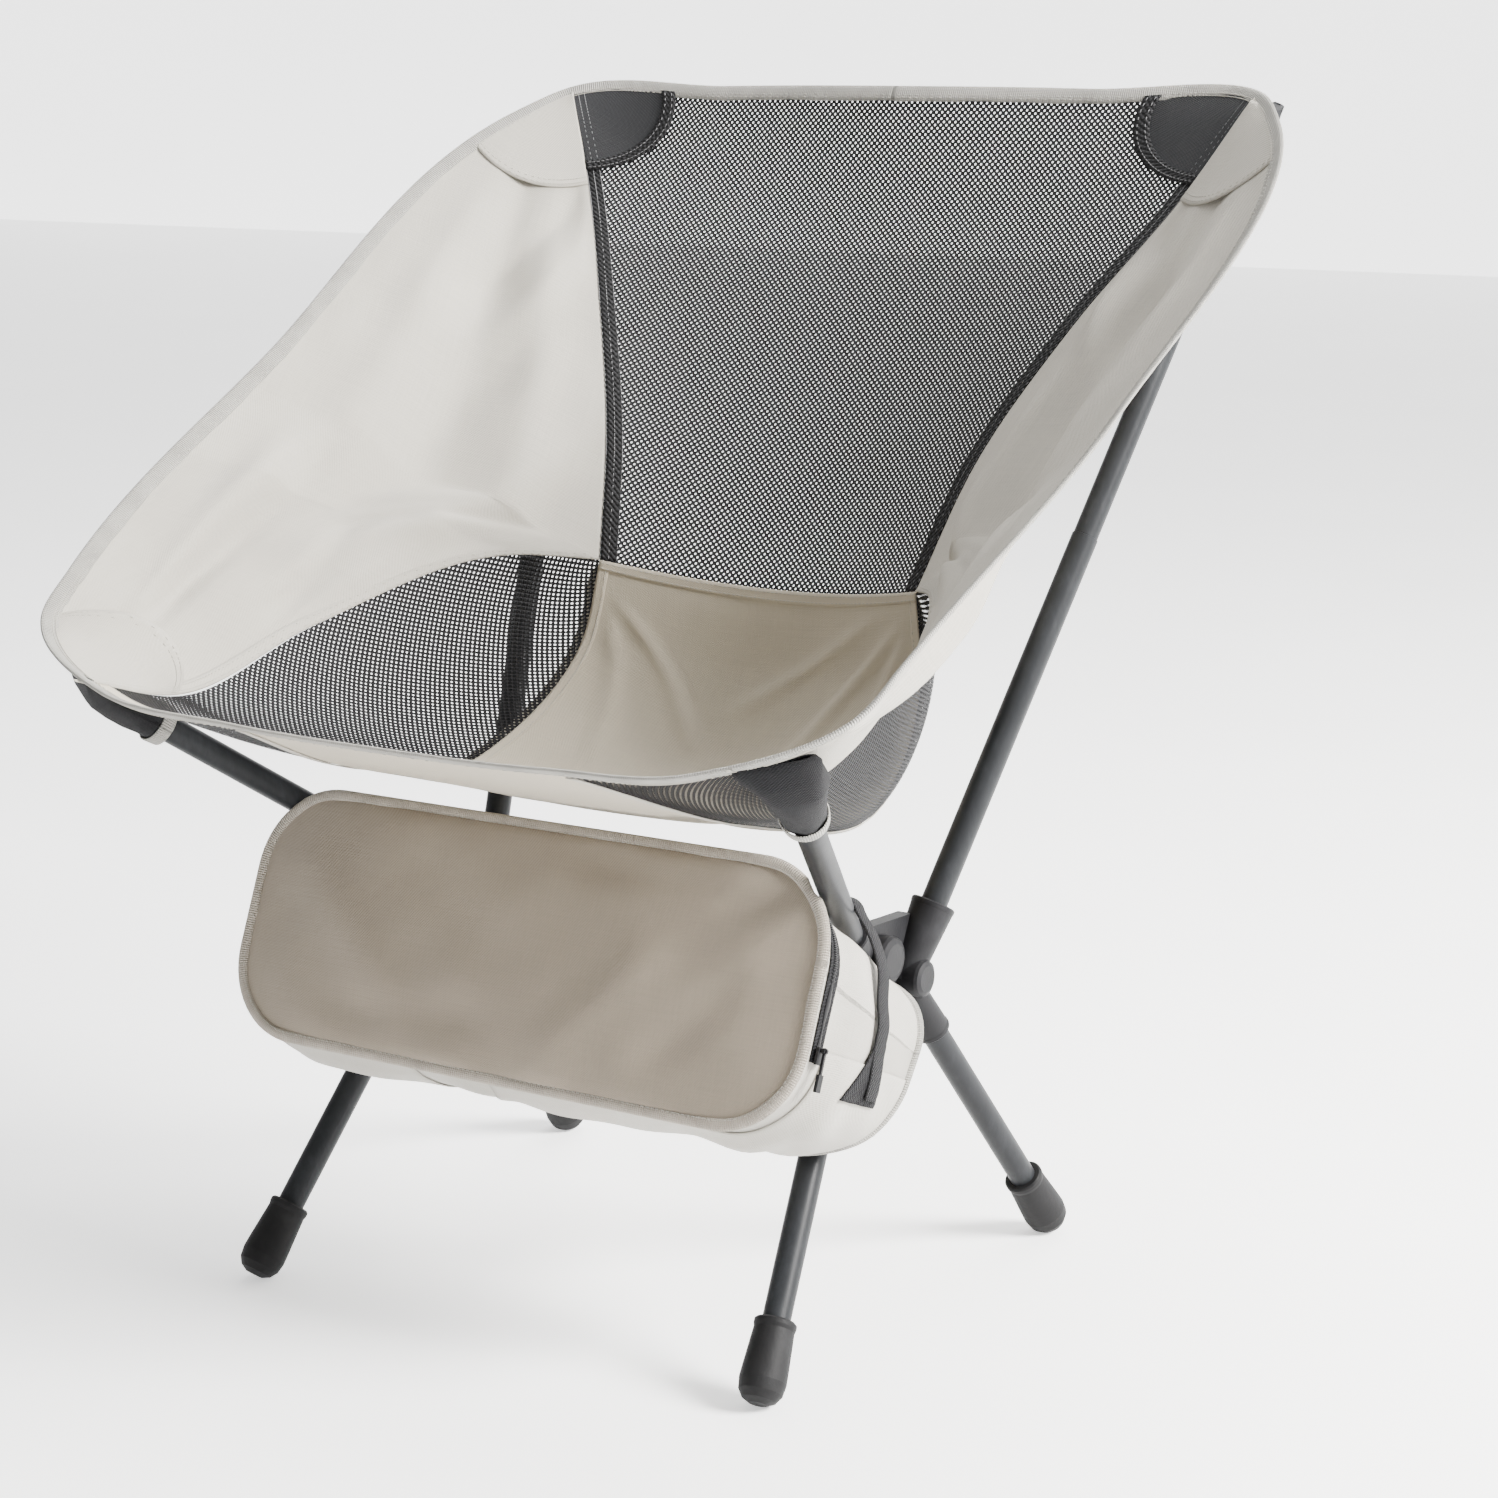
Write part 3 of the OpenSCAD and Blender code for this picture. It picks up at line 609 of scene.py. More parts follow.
def lens(t, w):
    """Right mesh beside the seat: t from the back to the front edge, w from side to seat seam."""
    t, w = np.broadcast_arrays(t, w)
    bulge = np.stack([0.75 * np.sin(np.pi * t), 0 * t, -0.65 * np.sin(np.pi * t)], axis=-1) * LENS_BULGE
    flat_front = mix(SIDE_SEAM[4], SEAT_SEAM[4], w)
    pull = rim_inner(RIM_END + (FRONT_SEAM - RIM_END) * w) - flat_front
    return (row_point(curve(SIDE_SEAM, 4 * t), curve(SEAT_SEAM, 4 * t), bulge, w)
            + pull * (t**5)[..., None])


# ---- Sling panels ----

SITTER = mm((0, -40, 480))[0]
stitching = {"light": [], "grey": [], "bag": []}


def inner_side(g):
    """Normals of a grid on the sling, pointing at the sitter."""
    n = grid_normals(g)
    return n * np.sign(((SITTER - g) * n).sum(axis=2).mean())


def lifted(g, height):
    """The grid moved towards the sitter."""
    return g + inner_side(g) * np.broadcast_to(height, g.shape[:2])[..., None]


def strip(surface, along, near, far, lift, columns=5):
    """A band on surface(along, q) beside its edge q = 0, from near to far metres in from it."""
    whole = np.linalg.norm(surface(along, 1 + 0 * along) - surface(along, 0 * along), axis=1)
    across = (near + (far - near) * span(0, 1, columns)[None, :]) / np.maximum(whole, 0.02)[:, None]
    return lifted(surface(along[:, None], across), lift)


def stitch_along(kind, g, column, height, name="right"):
    """Remembers a seam down one column of a strip, on the sitter's side, for the right or left."""
    path, normal = g[:, column], inner_side(g)[:, column]
    turn = FLIP if name == "left" else 1
    stitching[kind].append(((path + normal * height) * turn, normal * turn))


def both(build):
    """Builds a right and a left piece; the second argument turns a right grid into the side's own."""
    build("right", lambda g: g)
    build("left", mirrored)


# Seat panel
ss, tt = span(0, 1, 121), span(0, 1, 141)
g = seat(ss[None, :], tt[:, None])
u, v = (ss[None, :] - 0.5) * 0.25, tt[:, None] * 0.42
SEAT_FOLDS = [
    (-0.118, 0.02, -0.01, 0.17, 0.006, 0.0032), (-0.118, 0.03, -0.06, 0.20, 0.006, 0.0028),
    (-0.12, 0.05, -0.085, 0.24, 0.005, 0.0020), (-0.10, 0.01, 0.03, 0.12, 0.007, 0.0026),
    (0.118, 0.03, 0.02, 0.16, 0.006, 0.0026), (0.118, 0.05, 0.075, 0.20, 0.006, 0.0022),
    (0.06, 0.24, 0.11, 0.38, 0.011, 0.0022), (-0.06, 0.22, -0.10, 0.38, 0.011, 0.0020),
    (-0.03, 0.08, 0.04, 0.26, 0.016, -0.0016),
]
calm = smooth01(ss * 14) * smooth01((1 - ss) * 14)
height = (folds(u, v, SEAT_FOLDS) + ripple(g, 3, 0.08, 0.0007)) * calm
g = lifted(g, height * np.sin(np.pi * tt)[:, None] ** 0.5)
seat_piece = sheet("seat_panel_cloth", g, CLOTH_T, cloth_seat, replaces=["seat_panel"])
seat_hem = strip(seat, span(0, 1, 90), 0, 10 * MM, 0.6 * MM)
sheet("seat_hem", seat_hem, 0.6 * MM, cloth_seat)
for column in (1, 3):
    stitch_along("light", seat_hem, column, 0.35 * MM)

# Back mesh
ss, tt = span(0, 1, 131), span(0, 1, 101)
g = back(ss[None, :], tt[:, None])
back_piece = sheet("back_mesh_net", g, 0.5 * MM, net_black, replaces=["back_mesh"])

# Side panels, with the soft folds that run from corner to corner
SIDE_FOLDS = [
    (0.03, 0.108, 0.41, 0.088, 0.022, -0.0085), (0.06, 0.155, 0.38, 0.135, 0.018, 0.0060),
    (0.05, 0.060, 0.40, 0.045, 0.018, 0.0040),
    (0.41, 0.102, 0.22, 0.045, 0.012, -0.0065), (0.41, 0.078, 0.24, 0.026, 0.010, 0.0035),
    (0.37, 0.185, 0.29, 0.105, 0.008, -0.0040), (0.35, 0.190, 0.26, 0.125, 0.008, 0.0030),
    (0.425, 0.006, 0.385, 0.085, 0.005, -0.0022), (0.055, 0.205, 0.15, 0.050, 0.009, -0.0038),
    (0.075, 0.210, 0.18, 0.070, 0.009, 0.0030), (0.018, 0.030, 0.070, 0.118, 0.006, -0.0022),
    (0.17, 0.190, 0.29, 0.085, 0.011, 0.0038), (0.12, 0.175, 0.22, 0.075, 0.012, -0.0034),
    (0.20, 0.185, 0.33, 0.100, 0.008, -0.0030),
]


def side_panel(name, turn):
    vv, ww = span(0, 1, 171), span(0, 1, 71)
    g = side(vv[:, None], ww[None, :])
    calm = smooth01(ww * 10) * smooth01((1 - ww) * 10)
    height = folds(vv[:, None] * 0.47, ww[None, :] * 0.2, SIDE_FOLDS) + ripple(g, 5, 0.10, 0.0008)
    g = lifted(g, height * calm[None, :])
    obj = sheet(f"side_panel_{name}_cloth", turn(g), CLOTH_T, cloth_side,
                replaces=[f"side_panel_{name}"])
    # Second layers sewn into both corners
    for part, rows in (("top", lambda q: (0.004, 0.112 + 0.018 * q + 0.024 * np.sin(np.pi * q))),
                       ("front", lambda q: (0.995, 0.885 - 0.055 * np.sin(np.pi * q) ** 0.8))):
        q = span(0.01, 0.99, 50)[None, :]
        first, last = rows(q)
        layer = lifted(side(first + (last - first) * span(0, 1, 30)[:, None], q), 0.75 * MM)
        sheet(f"corner_patch_{part}_{name}", turn(layer), 0.7 * MM, cloth_side)
        for at in (0.978, 0.945):
            pair = [side(first + (last - first) * place, q) for place in (at - 0.03, at)]
            line = lifted(np.concatenate(pair), 1.25 * MM)
            stitch_along("light", line.transpose(1, 0, 2), 1, 0, name)


both(side_panel)


# Meshes beside the seat
def lens_mesh(name, turn):
    tt, ww = span(0, 1, 111), span(0, 1, 41)
    g = lens(tt[:, None], ww[None, :])
    obj = sheet(f"seat_mesh_{name}_net", turn(g), 0.5 * MM, net_black,
                replaces=[f"seat_mesh_{name}"])


both(lens_mesh)

# Binding over the whole rim, its ends overlapping at the left front
ring_u = span(0, RIM_STEPS, 901)[:-1]
edge, inward, tangent = rim(ring_u), rim_inward(ring_u), rim_tangent(ring_u)
across = np.cross(tangent, inward)
PROFILE = [(0.2, 0), (0.5, 0.62), (1.4, 1.12), (3.0, 1.25), (7.0, 1.15), (9.6, 0.95), (10.0, 0.45),
           (10.0, -0.45), (9.6, -0.95), (7.0, -1.15), (3.0, -1.25), (1.4, -1.12), (0.5, -0.62)]
wobble = 0.25 * np.sin(ring_u * 9.7) + 0.2 * np.sin(ring_u * 23.3 + 1) + 0.12 * np.sin(ring_u * 61)
LAP_START, LAP_END = 13.24, 13.40
overlap = 1 + 0.35 * smooth01((ring_u - LAP_START) * 60) * smooth01((LAP_END - ring_u) * 60)
rings = np.stack([edge + inward * ((a + (wobble * (a > 5))[:, None]) * MM)
                  + across * (b * overlap[:, None] * MM) for a, b in PROFILE], axis=1)
binding = hoop("rim_binding_tape", rings, tape_beige, replaces=["rim_binding"])
for sign in (1, -1):
    for inset in (8.4, 6.6):
        stitching["light"].append((edge + inward * inset * MM + across * sign * 1.2 * MM, across * sign))

# Hem along the front edge, wider than the binding
HEM_W, HEM_LIFT = 13 * MM, 0.7 * MM
hem = np.concatenate([
    strip(lambda q, w: lens(1 - w, q), span(0, 1, 30), 0, HEM_W, HEM_LIFT),
    strip(lambda q, w: seat(q, 1 - w), span(0.01, 0.99, 60), 0, HEM_W, HEM_LIFT),
    strip(lambda q, w: lens(1 - w, 1 - q) * FLIP, span(0, 1, 30), 0, HEM_W, HEM_LIFT),
])
sheet("front_hem", hem, 0.7 * MM, cloth_seat)
stitch_along("light", hem, 4, 0.4 * MM)


# Tapes and hems that cover the seams
def seam_tapes(name, turn):
    g = strip(lambda q, w: back(w, q), span(0, 1, 110), 0.2 * MM, 9.5 * MM, 0.6 * MM)
    sheet(f"back_seam_tape_{name}", turn(g), 0.6 * MM, net_tape)
    for column in (0, 2, 4):
        stitch_along("grey", g, column, 0.45 * MM, name)
    g = strip(lambda q, w: side(q, 1 - w), span(0.5, 0.985, 110), 0, 8.5 * MM, 0.6 * MM)
    sheet(f"side_hem_{name}", turn(g), 0.6 * MM, cloth_side)
    for column in (1, 3):
        stitch_along("light", g, column, 0.4 * MM, name)
    g = strip(lambda q, w: seat(w, q), span(0.02, 0.98, 110), 0, 6 * MM, 0.5 * MM)
    sheet(f"seat_side_hem_{name}", turn(g), 0.5 * MM, cloth_seat)
    stitch_along("light", g, 3, 0.35 * MM, name)
    g = strip(lambda q, w: lens(q, 1 - w), span(0.02, 0.98, 110), -1 * MM, 5 * MM, -0.8 * MM)
    sheet(f"seat_mesh_hem_{name}", turn(g), 0.6 * MM, cloth_side)


both(seam_tapes)

# Dark patches in the back's top corners, each with a netted tape along its arc
PATCH_W, PATCH_H = 68 * MM, 54 * MM


def reach(path, length):
    """Fraction of an evenly sampled path that a length along it takes."""
    d = np.r_[0, np.cumsum(np.linalg.norm(np.diff(path, axis=0), axis=1))]
    return float(np.interp(length, d, span(0, 1, len(d))))


PATCH_S = reach(back(span(0, 1, 200), 0 * span(0, 1, 200)), PATCH_W)
PATCH_T = reach(curve(BACK_SEAM, span(0, 4, 200)), PATCH_H)


def corner_patch(name, turn):
    turns = span(0, math.pi / 2, 40)

    def polar(radius, turn_by):
        return back(radius * PATCH_S * np.cos(turn_by), radius * PATCH_T * np.sin(turn_by))
    g = lifted(polar(span(0.02, 1, 24)[:, None], turns[None, :]), 0.8 * MM)
    sheet(f"back_corner_{name}_cloth", turn(g), 0.6 * MM, cloth_dark,
          replaces=[f"back_corner_{name}"])
    g = lifted(polar(span(0.95, 1.08, 5)[None, :], turns[:, None]), 1.5 * MM)
    sheet(f"back_corner_tape_{name}", turn(g), 0.5 * MM, net_tape)
    for column in (1, 3):
        stitch_along("grey", g, column, 0.4 * MM, name)


both(corner_patch)


# ---- Pockets that hold the pole ends ----

FRONT_POLE = mm((136, -24, 199), (221, -223, 343))
BACK_POLE = mm((143, 12, 177), (230, 257, 635))
FRONT_RIM, BACK_RIM = 6.62, 2.0
BEHIND = 1.2 * MM


def behind_cloth(points):
    """The points, with those that would show inside the right side panel moved behind it."""
    panel = side(span(0, 1, 241)[:, None], span(0, 1, 61)[None, :])
    normal, panel = inner_side(panel).reshape(-1, 3), panel.reshape(-1, 3)
    out = points.reshape(-1, 3).copy()
    for k, p in enumerate(out):
        away = np.linalg.norm(panel - p, axis=1)
        near = int(away.argmin())
        height = float((p - panel[near]) @ normal[near])
        if away[near] < 12 * MM and height > -BEHIND:
            out[k] = p - normal[near] * (height + BEHIND)
    return out.reshape(points.shape)


def pole_axes(ends, at_rim):
    """A pole's direction, then the directions across it along the rim and square to that."""
    pole = unit(ends[1] - ends[0])
    along = rim_tangent(at_rim)
    wide = unit(along - pole * (along @ pole))
    return pole, wide, np.cross(pole, wide)


def oval(centre, wide, deep, turns):
    """A ring of points round centre; wide and deep are its half-axes, in millimetres."""
    return centre + (np.outer(np.cos(turns), wide) + np.outer(np.sin(turns), deep)) * MM


POCKET_T = 1.3 * MM


def pocket(name, node, ends, at_rim, material, over, sizes):
    """A cup lofted from a round mouth on the pole to a flat seam under the rim, over millimetres
    past the tip. sizes are (millimetres short of the tip, half-width, half-depth)."""
    tip = ends[1]
    pole, wide, deep = pole_axes(ends, at_rim)
    seam = rim(at_rim) + rim_inward(at_rim) * BINDING_W
    phi = span(0, 2 * math.pi, 41)[:-1]
    outer = []
    for short, half, depth in sizes:
        centre = tip - pole * short * MM
        if short < 0:
            centre = tip + (seam - tip) * (-short / 10) + pole * over * (1 + short / 10) * MM
        crease = 1 + 0.05 * np.sin(5 * phi + short)
        outer.append(centre + (oval(0, wide * half, deep * depth, phi)) * crease[:, None])
    outer = behind_cloth(np.array(outer))
    middle = outer.mean(1, keepdims=True)
    reach_out = outer - middle
    inner = middle + reach_out * (1 - POCKET_T / np.linalg.norm(reach_out, axis=2, keepdims=True))
    rings = left_rings(np.concatenate([outer, inner[::-1]]), name)
    hoop(f"{node}_cloth", rings, material, replaces=[node])


FRONT_POCKET = [
    (44, 10.6, 10.2), (36, 11.4, 10.6), (26, 12.8, 10.8), (14, 15, 10.8), (3, 17.5, 10), (-4, 20, 7.5),
    (-8, 22, 4), (-10, 22.5, 1.6),
]
BACK_POCKET = [
    (60, 10, 9.6), (50, 10.6, 10), (34, 11.8, 10.2), (16, 13.5, 10.2), (3, 15.5, 9.6), (-0.1, 15.5, 8.8),
    (-2.5, 15.5, 7.8), (-5, 15, 5.8), (-7.5, 14.5, 3.4), (-10, 14, 1.6),
]
# The webbing's section: (millimetres past the pole's tip, radius)
LOOP_SECTION = ((-48, 11.0), (-47.6, 11.9), (-44, 12.3), (-40, 12.6), (-39.6, 11.8), (-43, 11.4))


def pockets(name, _):
    pocket(name, f"front_pocket_{name}", FRONT_POLE, FRONT_RIM, cloth_black, 0, FRONT_POCKET)
    pocket(name, f"back_pocket_{name}", BACK_POLE, BACK_RIM, cloth_dark, 6, BACK_POCKET)
    pole, wide, deep = pole_axes(FRONT_POLE, FRONT_RIM)
    phi = span(0, 2 * math.pi, 61)[:-1]
    rings = [oval(FRONT_POLE[1] + pole * step * MM, wide * r, deep * (r - 0.4), phi)
             for step, r in LOOP_SECTION]
    rings = left_rings(np.array(rings).transpose(1, 0, 2), name)
    hoop(f"pocket_webbing_{name}_tape", rings, tape_beige,
         replaces=[f"pocket_webbing_{name}"])


both(pockets)

# ---- Bag ----

BAG_AT = mm((0, -96, 189))[0]
BAG_TILT = math.radians(23)
BAG_W, BAG_H, BAG_R, BAG_FRONT = 185 * MM, 70 * MM, 47 * MM, -52.5 * MM
BAG_D, BAG_LEAN, BAG_DROP, BAG_FLARE = 90 * MM, 0.25, 44 * MM, 6 * MM


def from_bag(p):
    """Row-frame points from the bag's own: x along it, y from front to back, z up its front."""
    c, s = math.cos(BAG_TILT), math.sin(BAG_TILT)
    x, y, z = p[..., 0], p[..., 1], p[..., 2]
    return np.stack([x, y * c + z * s, z * c - y * s], axis=-1) + BAG_AT


def bag_depth(g, x, z):
    """Where a point at depth fraction g lies; beyond the poles the ends reach further back."""
    lobe = 9 * MM * smooth01((np.abs(x) - 0.160) / 0.025)
    return BAG_FRONT + g * (BAG_D + BAG_LEAN * z + lobe)


def bag_size(g, inset):
    """Half-width, bottom and top of the bag at depth fraction g, inset all round."""
    return (BAG_W + (BAG_FLARE + 3 * MM) * g - inset, -BAG_H - 3 * MM * g + inset,
            BAG_H - BAG_DROP * g ** 0.7 - inset)


def bag_ring(g, inset):
    """The bag's outline at depth fraction g: corners and straights, from the right end's top."""
    w, low, high = bag_size(g, inset)
    r = BAG_R - inset
    r_top = min(r, (high - low) / 2.05) * (1 - 0.25 * g)
    points = []

    def corner(q, degrees):
        """Points on corner q, at these angles from its start."""
        rq = r_top if q < 2 else r
        cx, cz = (w - rq) * (1 if q in (0, 3) else -1), high - rq if q < 2 else low + rq
        a = np.radians(90 * q + degrees)
        return np.stack([cx + rq * np.cos(a), cz + rq * np.sin(a)], axis=-1)

    for q, count in ((0, 60), (1, 14), (2, 60), (3, 14)):
        points.append(corner(q, span(0, 90, 17)))
        start, goal = points[-1][-1], corner((q + 1) % 4, 0)
        points.append(start + (goal - start) * (np.arange(1, count) / count)[:, None])
    xz = np.concatenate(points)
    return np.stack([xz[:, 0], bag_depth(g, *xz.T), xz[:, 1]], axis=1)


def bag_panel(name, g, inset, crown, rows, material, replaces):
    """A front or back panel, crowned outwards by crown and creased by rows of folds."""
    turns = span(-math.pi / 2, math.pi / 2, 61)
    w, low, high = bag_size(g, inset)
    r = min(BAG_R - inset, (high - low) / 2.05)
    z = (high + low) / 2 + (high - low) / 2 * np.sin(turns)
    over = np.maximum(np.abs(z - (high + low) / 2) - ((high - low) / 2 - r), 0)
    half = w - r + np.sqrt(np.maximum(r * r - over * over, 0))
    widest = math.pi / 2 * 0.92
    a = np.sin(span(-1, 1, 141) * widest) / math.sin(widest)
    x = half[:, None] * a[None, :]
    z = np.broadcast_to(z[:, None], x.shape)
    bulge = ((1 - a[None, :] ** 4) * np.cos(turns)[:, None] ** 0.8).clip(0)
    flat = np.stack([x, bag_depth(g, x, z), z], axis=2)
    creases = folds(x, z, rows) + ripple(flat, 11, 0.06, 0.0007)
    height = crown * bulge + creases * np.minimum(bulge * 2, 1)
    flat[..., 1] -= height * (1 if g < 0.5 else -1)
    panel = sheet(name, from_bag(flat), 0.8 * MM, material, "bag", replaces)


# painted shade: both panels are sewn from the darker copy of the bag cloth
bag_panel("bag_front_cloth", 0, 4 * MM, 9 * MM, [
    (-0.16, 0.045, -0.05, -0.055, 0.016, 0.0030), (0.02, -0.06, 0.10, 0.02, 0.014, 0.0032),
    (0.08, -0.06, 0.15, 0.01, 0.012, -0.0028), (-0.15, -0.05, 0.02, -0.035, 0.012, -0.0022),
    (0.00, 0.055, 0.16, 0.045, 0.010, -0.0018),
], cloth_bag_painted_shade, ["bag_front_panel"])
bag_panel("bag_back_cloth", 1, 4 * MM, -1.5 * MM, [
    (-0.12, 0.02, 0.02, -0.05, 0.014, -0.0018), (0.03, 0.01, 0.13, -0.05, 0.014, -0.0015),
], cloth_bag_painted_shade, ["bag_back_panel"])

depths = span(0, 1, 33)
shell = np.array([bag_ring(d, 1.2 * MM) for d in depths])
outward = unit(np.cross(np.roll(shell, -1, 1) - np.roll(shell, 1, 1), np.gradient(shell, axis=0)))
outward *= np.sign((outward * (shell - shell.mean(1, keepdims=True))).sum(2).mean())
low = smooth01((-0.02 - shell[..., 2]) / 0.03)
end = smooth01((np.abs(shell[..., 0]) - 0.168) / 0.012)
low_or_end = np.maximum(low, end)
belly = (smooth01((depths - 0.1) / 0.25) * np.sin(np.pi * depths))[:, None]
uneven = ripple(shell, 21, 0.045, 0.0016) + ripple(shell, 22, 0.09, 0.002)
puff = belly * (5.5 * MM * low_or_end + uneven * (0.15 + 0.85 * low_or_end))
shell = shell + outward * puff[..., None]
lining = shell - outward * 0.8 * MM
gusset_rings = from_bag(np.concatenate([shell, lining[::-1]]))
hoop("bag_gusset_cloth", gusset_rings, cloth_gusset, "bag", ["bag_gusset"])


POLE_CLEAR = 9.3 * MM


def clear_of_poles(points):
    """Row-frame points of the bag, dented where a front pole leans on them."""
    out = points.reshape(-1, 3).copy()
    for turn in (1, FLIP):
        hub, tip = FRONT_POLE * turn
        pole = unit(tip - hub)
        off = out - hub
        off -= np.outer(off @ pole, pole)
        gap = np.linalg.norm(off, axis=1, keepdims=True)
        out += off / gap * np.maximum(POLE_CLEAR - gap, 0)
    return out.reshape(points.shape)


def bag_edge(name, g, node):
    """Binding round one panel: a folded tape standing on the seam."""
    ring = bag_ring(g, 0)
    inside = bag_ring(g, 9 * MM)
    d = unit(inside - ring)
    n = np.array((0, 1, 0)) * np.ones_like(d)
    s = np.arange(len(ring))
    wave = 0.35 * np.sin(s * 0.31) + 0.25 * np.sin(s * 0.83 + 1)
    profile = [(-1.2, 0), (-1.0, 0.9), (-0.3, 1.5), (2, 1.9), (4.4, 1.6), (5.2, 0.8),
               (5.2, -0.8), (4.4, -1.9), (2, -2.4), (-0.3, -1.7), (-1.0, -0.9)]
    rings = np.stack([ring + d * ((a + (wave * (a > 4))[:, None]) * MM) + n * b * MM
                      for a, b in profile], axis=1)
    rings = clear_of_poles(from_bag(rings))
    hoop(name, rings, tape_bag if g < 0.5 else tape_beige, "bag", [node])
    side = -1 if g < 0.5 else 1
    path = ring + d * 4.0 * MM + n * side * 2.0 * MM
    tip = from_bag(path + n * side * MM) - from_bag(path)
    stitching["bag"].append((from_bag(path), tip / MM))


bag_edge("bag_binding_front_tape", 0.0, "bag_binding_front")
bag_edge("bag_binding_back_tape", 1.0, "bag_binding_back")


def gusset_patch(first, last, g0, g1, lift):
    """A layer over the gusset between two places round it and two depths."""
    rows = np.clip(np.round(span(g0, g1, 21) * (len(depths) - 1)).astype(int), 0, len(depths) - 1)
    cols = np.arange(first, last)
    return (shell + outward * lift)[rows][:, cols]


AROUND = shell.shape[1]
for name, first, last in (("right", AROUND - 62, AROUND - 12), ("left", 90, 140)):
    g = gusset_patch(first, last, 0.16, 0.97, 0.9 * MM)
    sheet(f"bag_end_pocket_{name}", from_bag(g), 0.8 * MM, cloth_gusset, "bag")

# Zip tape over both ends and the top, its coil along the middle
ZIP_LOW = -30 * MM
shown = shell[2, :, 2] > ZIP_LOW
start = int(np.flatnonzero(shown & ~np.roll(shown, 1))[0])
run = np.roll(np.arange(AROUND), -start)[:int(shown.sum())]


def gusset_line(g):
    """The gusset's outside along the zip at depth fraction g, and its outward direction."""
    k = g * (len(depths) - 1)
    i = int(k)
    return ((shell[i] * (i + 1 - k) + shell[i + 1] * (k - i))[run], outward[i][run])


tape_rows = []
for g_at in span(0.052, 0.138, 7):
    line, out = gusset_line(g_at)
    tape_rows.append(line + out * 0.7 * MM)
sheet("bag_zip_tape", from_bag(np.array(tape_rows)), 0.6 * MM, strap_black, "bag",
      ["bag_zip"])
line, out = gusset_line(0.095)
fine = resample(np.concatenate([line, out], axis=1), 1500)
line, out = fine[:, :3], unit(fine[:, 3:])
sideways = unit(np.cross(np.gradient(line, axis=0), out))
travel = np.arange(len(line)) * np.linalg.norm(line[1] - line[0])
tooth = (0.85 + 0.35 * np.sin(2 * math.pi * travel / (1.9 * MM)))[:, None] * MM
rings = np.stack([line + out * (1.1 * MM + tooth * 0.7 * math.sin(a))
                  + sideways * tooth * 1.7 * math.cos(a) for a in span(0, 2 * math.pi, 9)[:-1]], axis=1)
hoop("bag_zip_coil", from_bag(rings), lacquer_black, "bag", closed=False)


# Webbing straps that loop over the front poles, and the tabs they are sewn to
def end_x(y, z):
    """How far out the bag's right end is at (y, z)."""
    d = (shell[..., 1] - y) ** 2 + (shell[..., 2] - z) ** 2 + np.where(shell[..., 0] < 0.1, 1, 0)
    return float(shell[..., 0].ravel()[np.argsort(d.ravel())[:3]].mean())


LOOP_X, LOOP_Z, LOOP_R = 158 * MM, 50.5 * MM, 11 * MM
STRAP_HALF, STRAP_T = 5.5 * MM, 1.4 * MM
lower = [(end_x(0, z * MM) + 3.4 * MM, z * MM) for z in (-40, -28, -14, 0, 10)]
turns = np.radians(span(28, 178, 9))
loop = [(LOOP_X + LOOP_R * math.cos(a), LOOP_Z + LOOP_R * math.sin(a)) for a in turns]
strap_line = np.array([(x, 0, z) for x, z in [*lower, (189 * MM, 26 * MM), (180 * MM, 42 * MM), *loop,
                                              (146.8 * MM, 43 * MM)]])
strap_line = curve(strap_line, span(0, len(strap_line) - 1, 160))
forward = unit(np.gradient(strap_line, axis=0))
flat_way = np.cross(forward, (0, 1, 0))
TAB_CORNERS = mm((0, -24, -43), (0, 8, -43), (0, -3, -10), (0, 8, -10))
STRAP_SECTION = ((-1, -0.3), (-0.93, -0.5), (0, -0.45), (0.93, -0.5), (1, -0.3), (1, 0.3),
                 (0.93, 0.5), (0, 0.55), (-0.93, 0.5), (-1, 0.3))


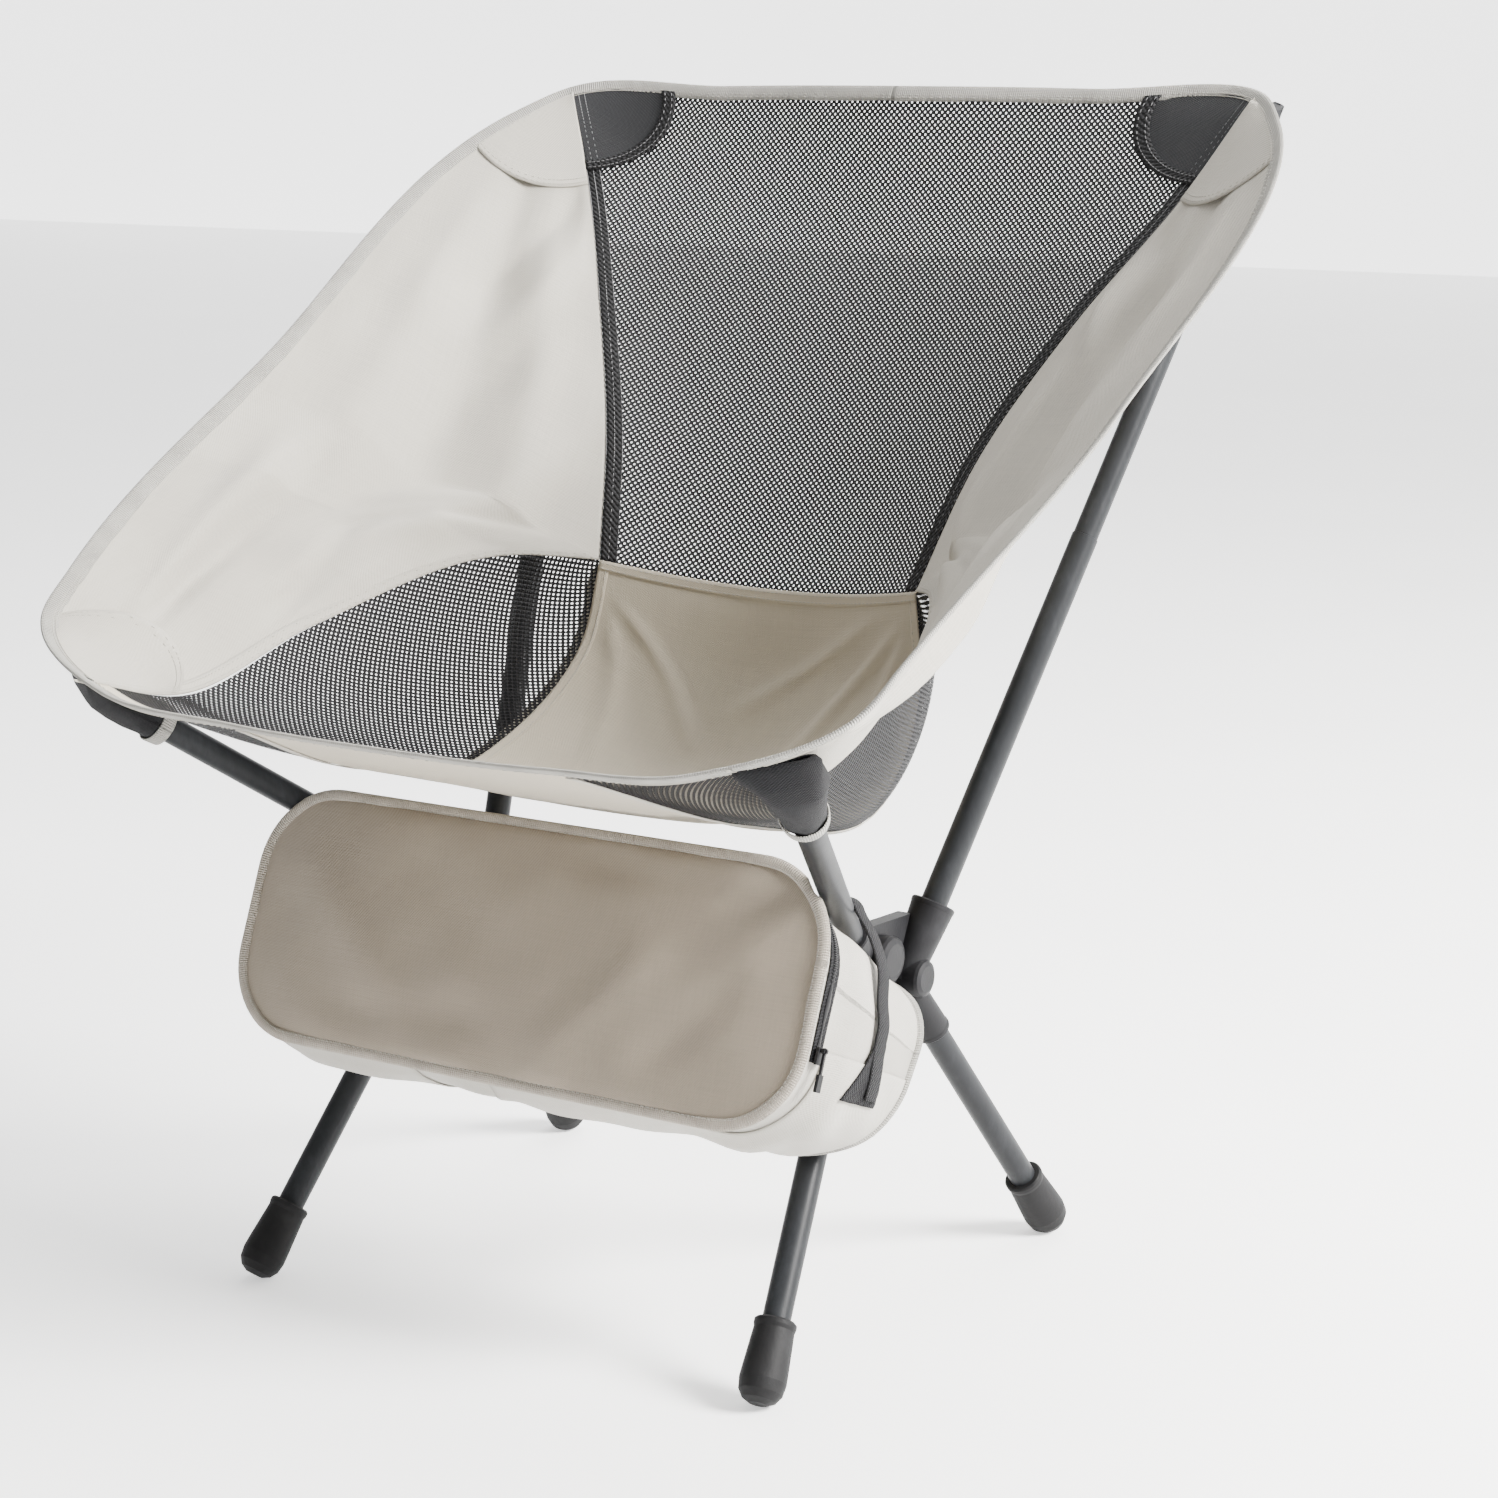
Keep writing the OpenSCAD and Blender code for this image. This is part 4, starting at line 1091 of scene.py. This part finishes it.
def strap_pieces(name, turn):
    wavy = 0.18 * MM * np.sin(span(0, 9, 160))[:, None]
    rings = np.stack([strap_line + np.array((0, 1, 0)) * (STRAP_HALF * a) + flat_way * (STRAP_T * b + wavy)
                      for a, b in STRAP_SECTION], axis=1)
    rings = left_rings(rings, name)
    hoop(f"bag_strap_{name}_webbing", from_bag(rings), strap_black, "bag",
         [f"bag_strap_{name}"], closed=False)
    p, q = span(0, 1, 15)[:, None, None], span(0, 1, 15)[None, :, None]
    a, b, c, d = TAB_CORNERS
    g = (a * (1 - q) + b * q) * (1 - p) + (c * (1 - q) + d * q) * p
    for i in range(15):
        for j in range(15):
            g[i, j, 0] = end_x(g[i, j, 1], g[i, j, 2]) + 2.2 * MM
    sheet(f"strap_tab_{name}_webbing", from_bag(turn(g)), 0.9 * MM, strap_black, "bag",
          [f"strap_tab_{name}"])


both(strap_pieces)

stitch_rows("stitching_sling_light", stitching["light"], thread_light)
stitch_rows("stitching_sling_grey", stitching["grey"], thread_grey)
stitch_rows("stitching_bag", stitching["bag"], thread_light, "bag")

# ---- Frame, as in the CAD ----


def paint(material, *nodes):
    for node in nodes:
        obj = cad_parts[node]
        for k in range(len(obj.material_slots)):
            obj.material_slots[k].material = material


SIDES = ("left", "right")
CORNERS = [f"{row}_{name}" for row in ("front", "rear") for name in SIDES]
paint(tube_dark, "crossbar", *[f"leg_{c}" for c in CORNERS], *[f"front_pole_{s}" for s in SIDES],
      *[f"back_pole_{part}_{s}" for part in ("lower", "upper") for s in SIDES])
paint(plastic_black, "hub_left", "hub_right", "pole_end_plugs", "zip_pull")
paint(rubber_black, *[f"foot_{c}" for c in CORNERS])
paint(bare_metal, "ferrule_left", "ferrule_right")
paint(cord_grey, "frame_cords", *[f"leg_cord_{c}" for c in CORNERS])
paint(lacquer_black, "zip_slider")

# ---- Floor and wall ----


def stage_plane(name, corners, material):
    mesh = bpy.data.meshes.new(name)
    mesh.from_pydata(corners, [], [(0, 1, 2, 3)])
    mesh.materials.append(material)
    obj = bpy.data.objects.new(name, mesh)
    bpy.context.scene.collection.objects.link(obj)


stage_plane("floor", [(-15, -15, 0), (15, -15, 0), (15, 15, 0), (-15, 15, 0)], floor_paint)
stage_plane("wall", [(-14, 7, -0.5), (14, 7, -0.5), (14, 7, 8), (-14, 7, 8)], wall_paint)
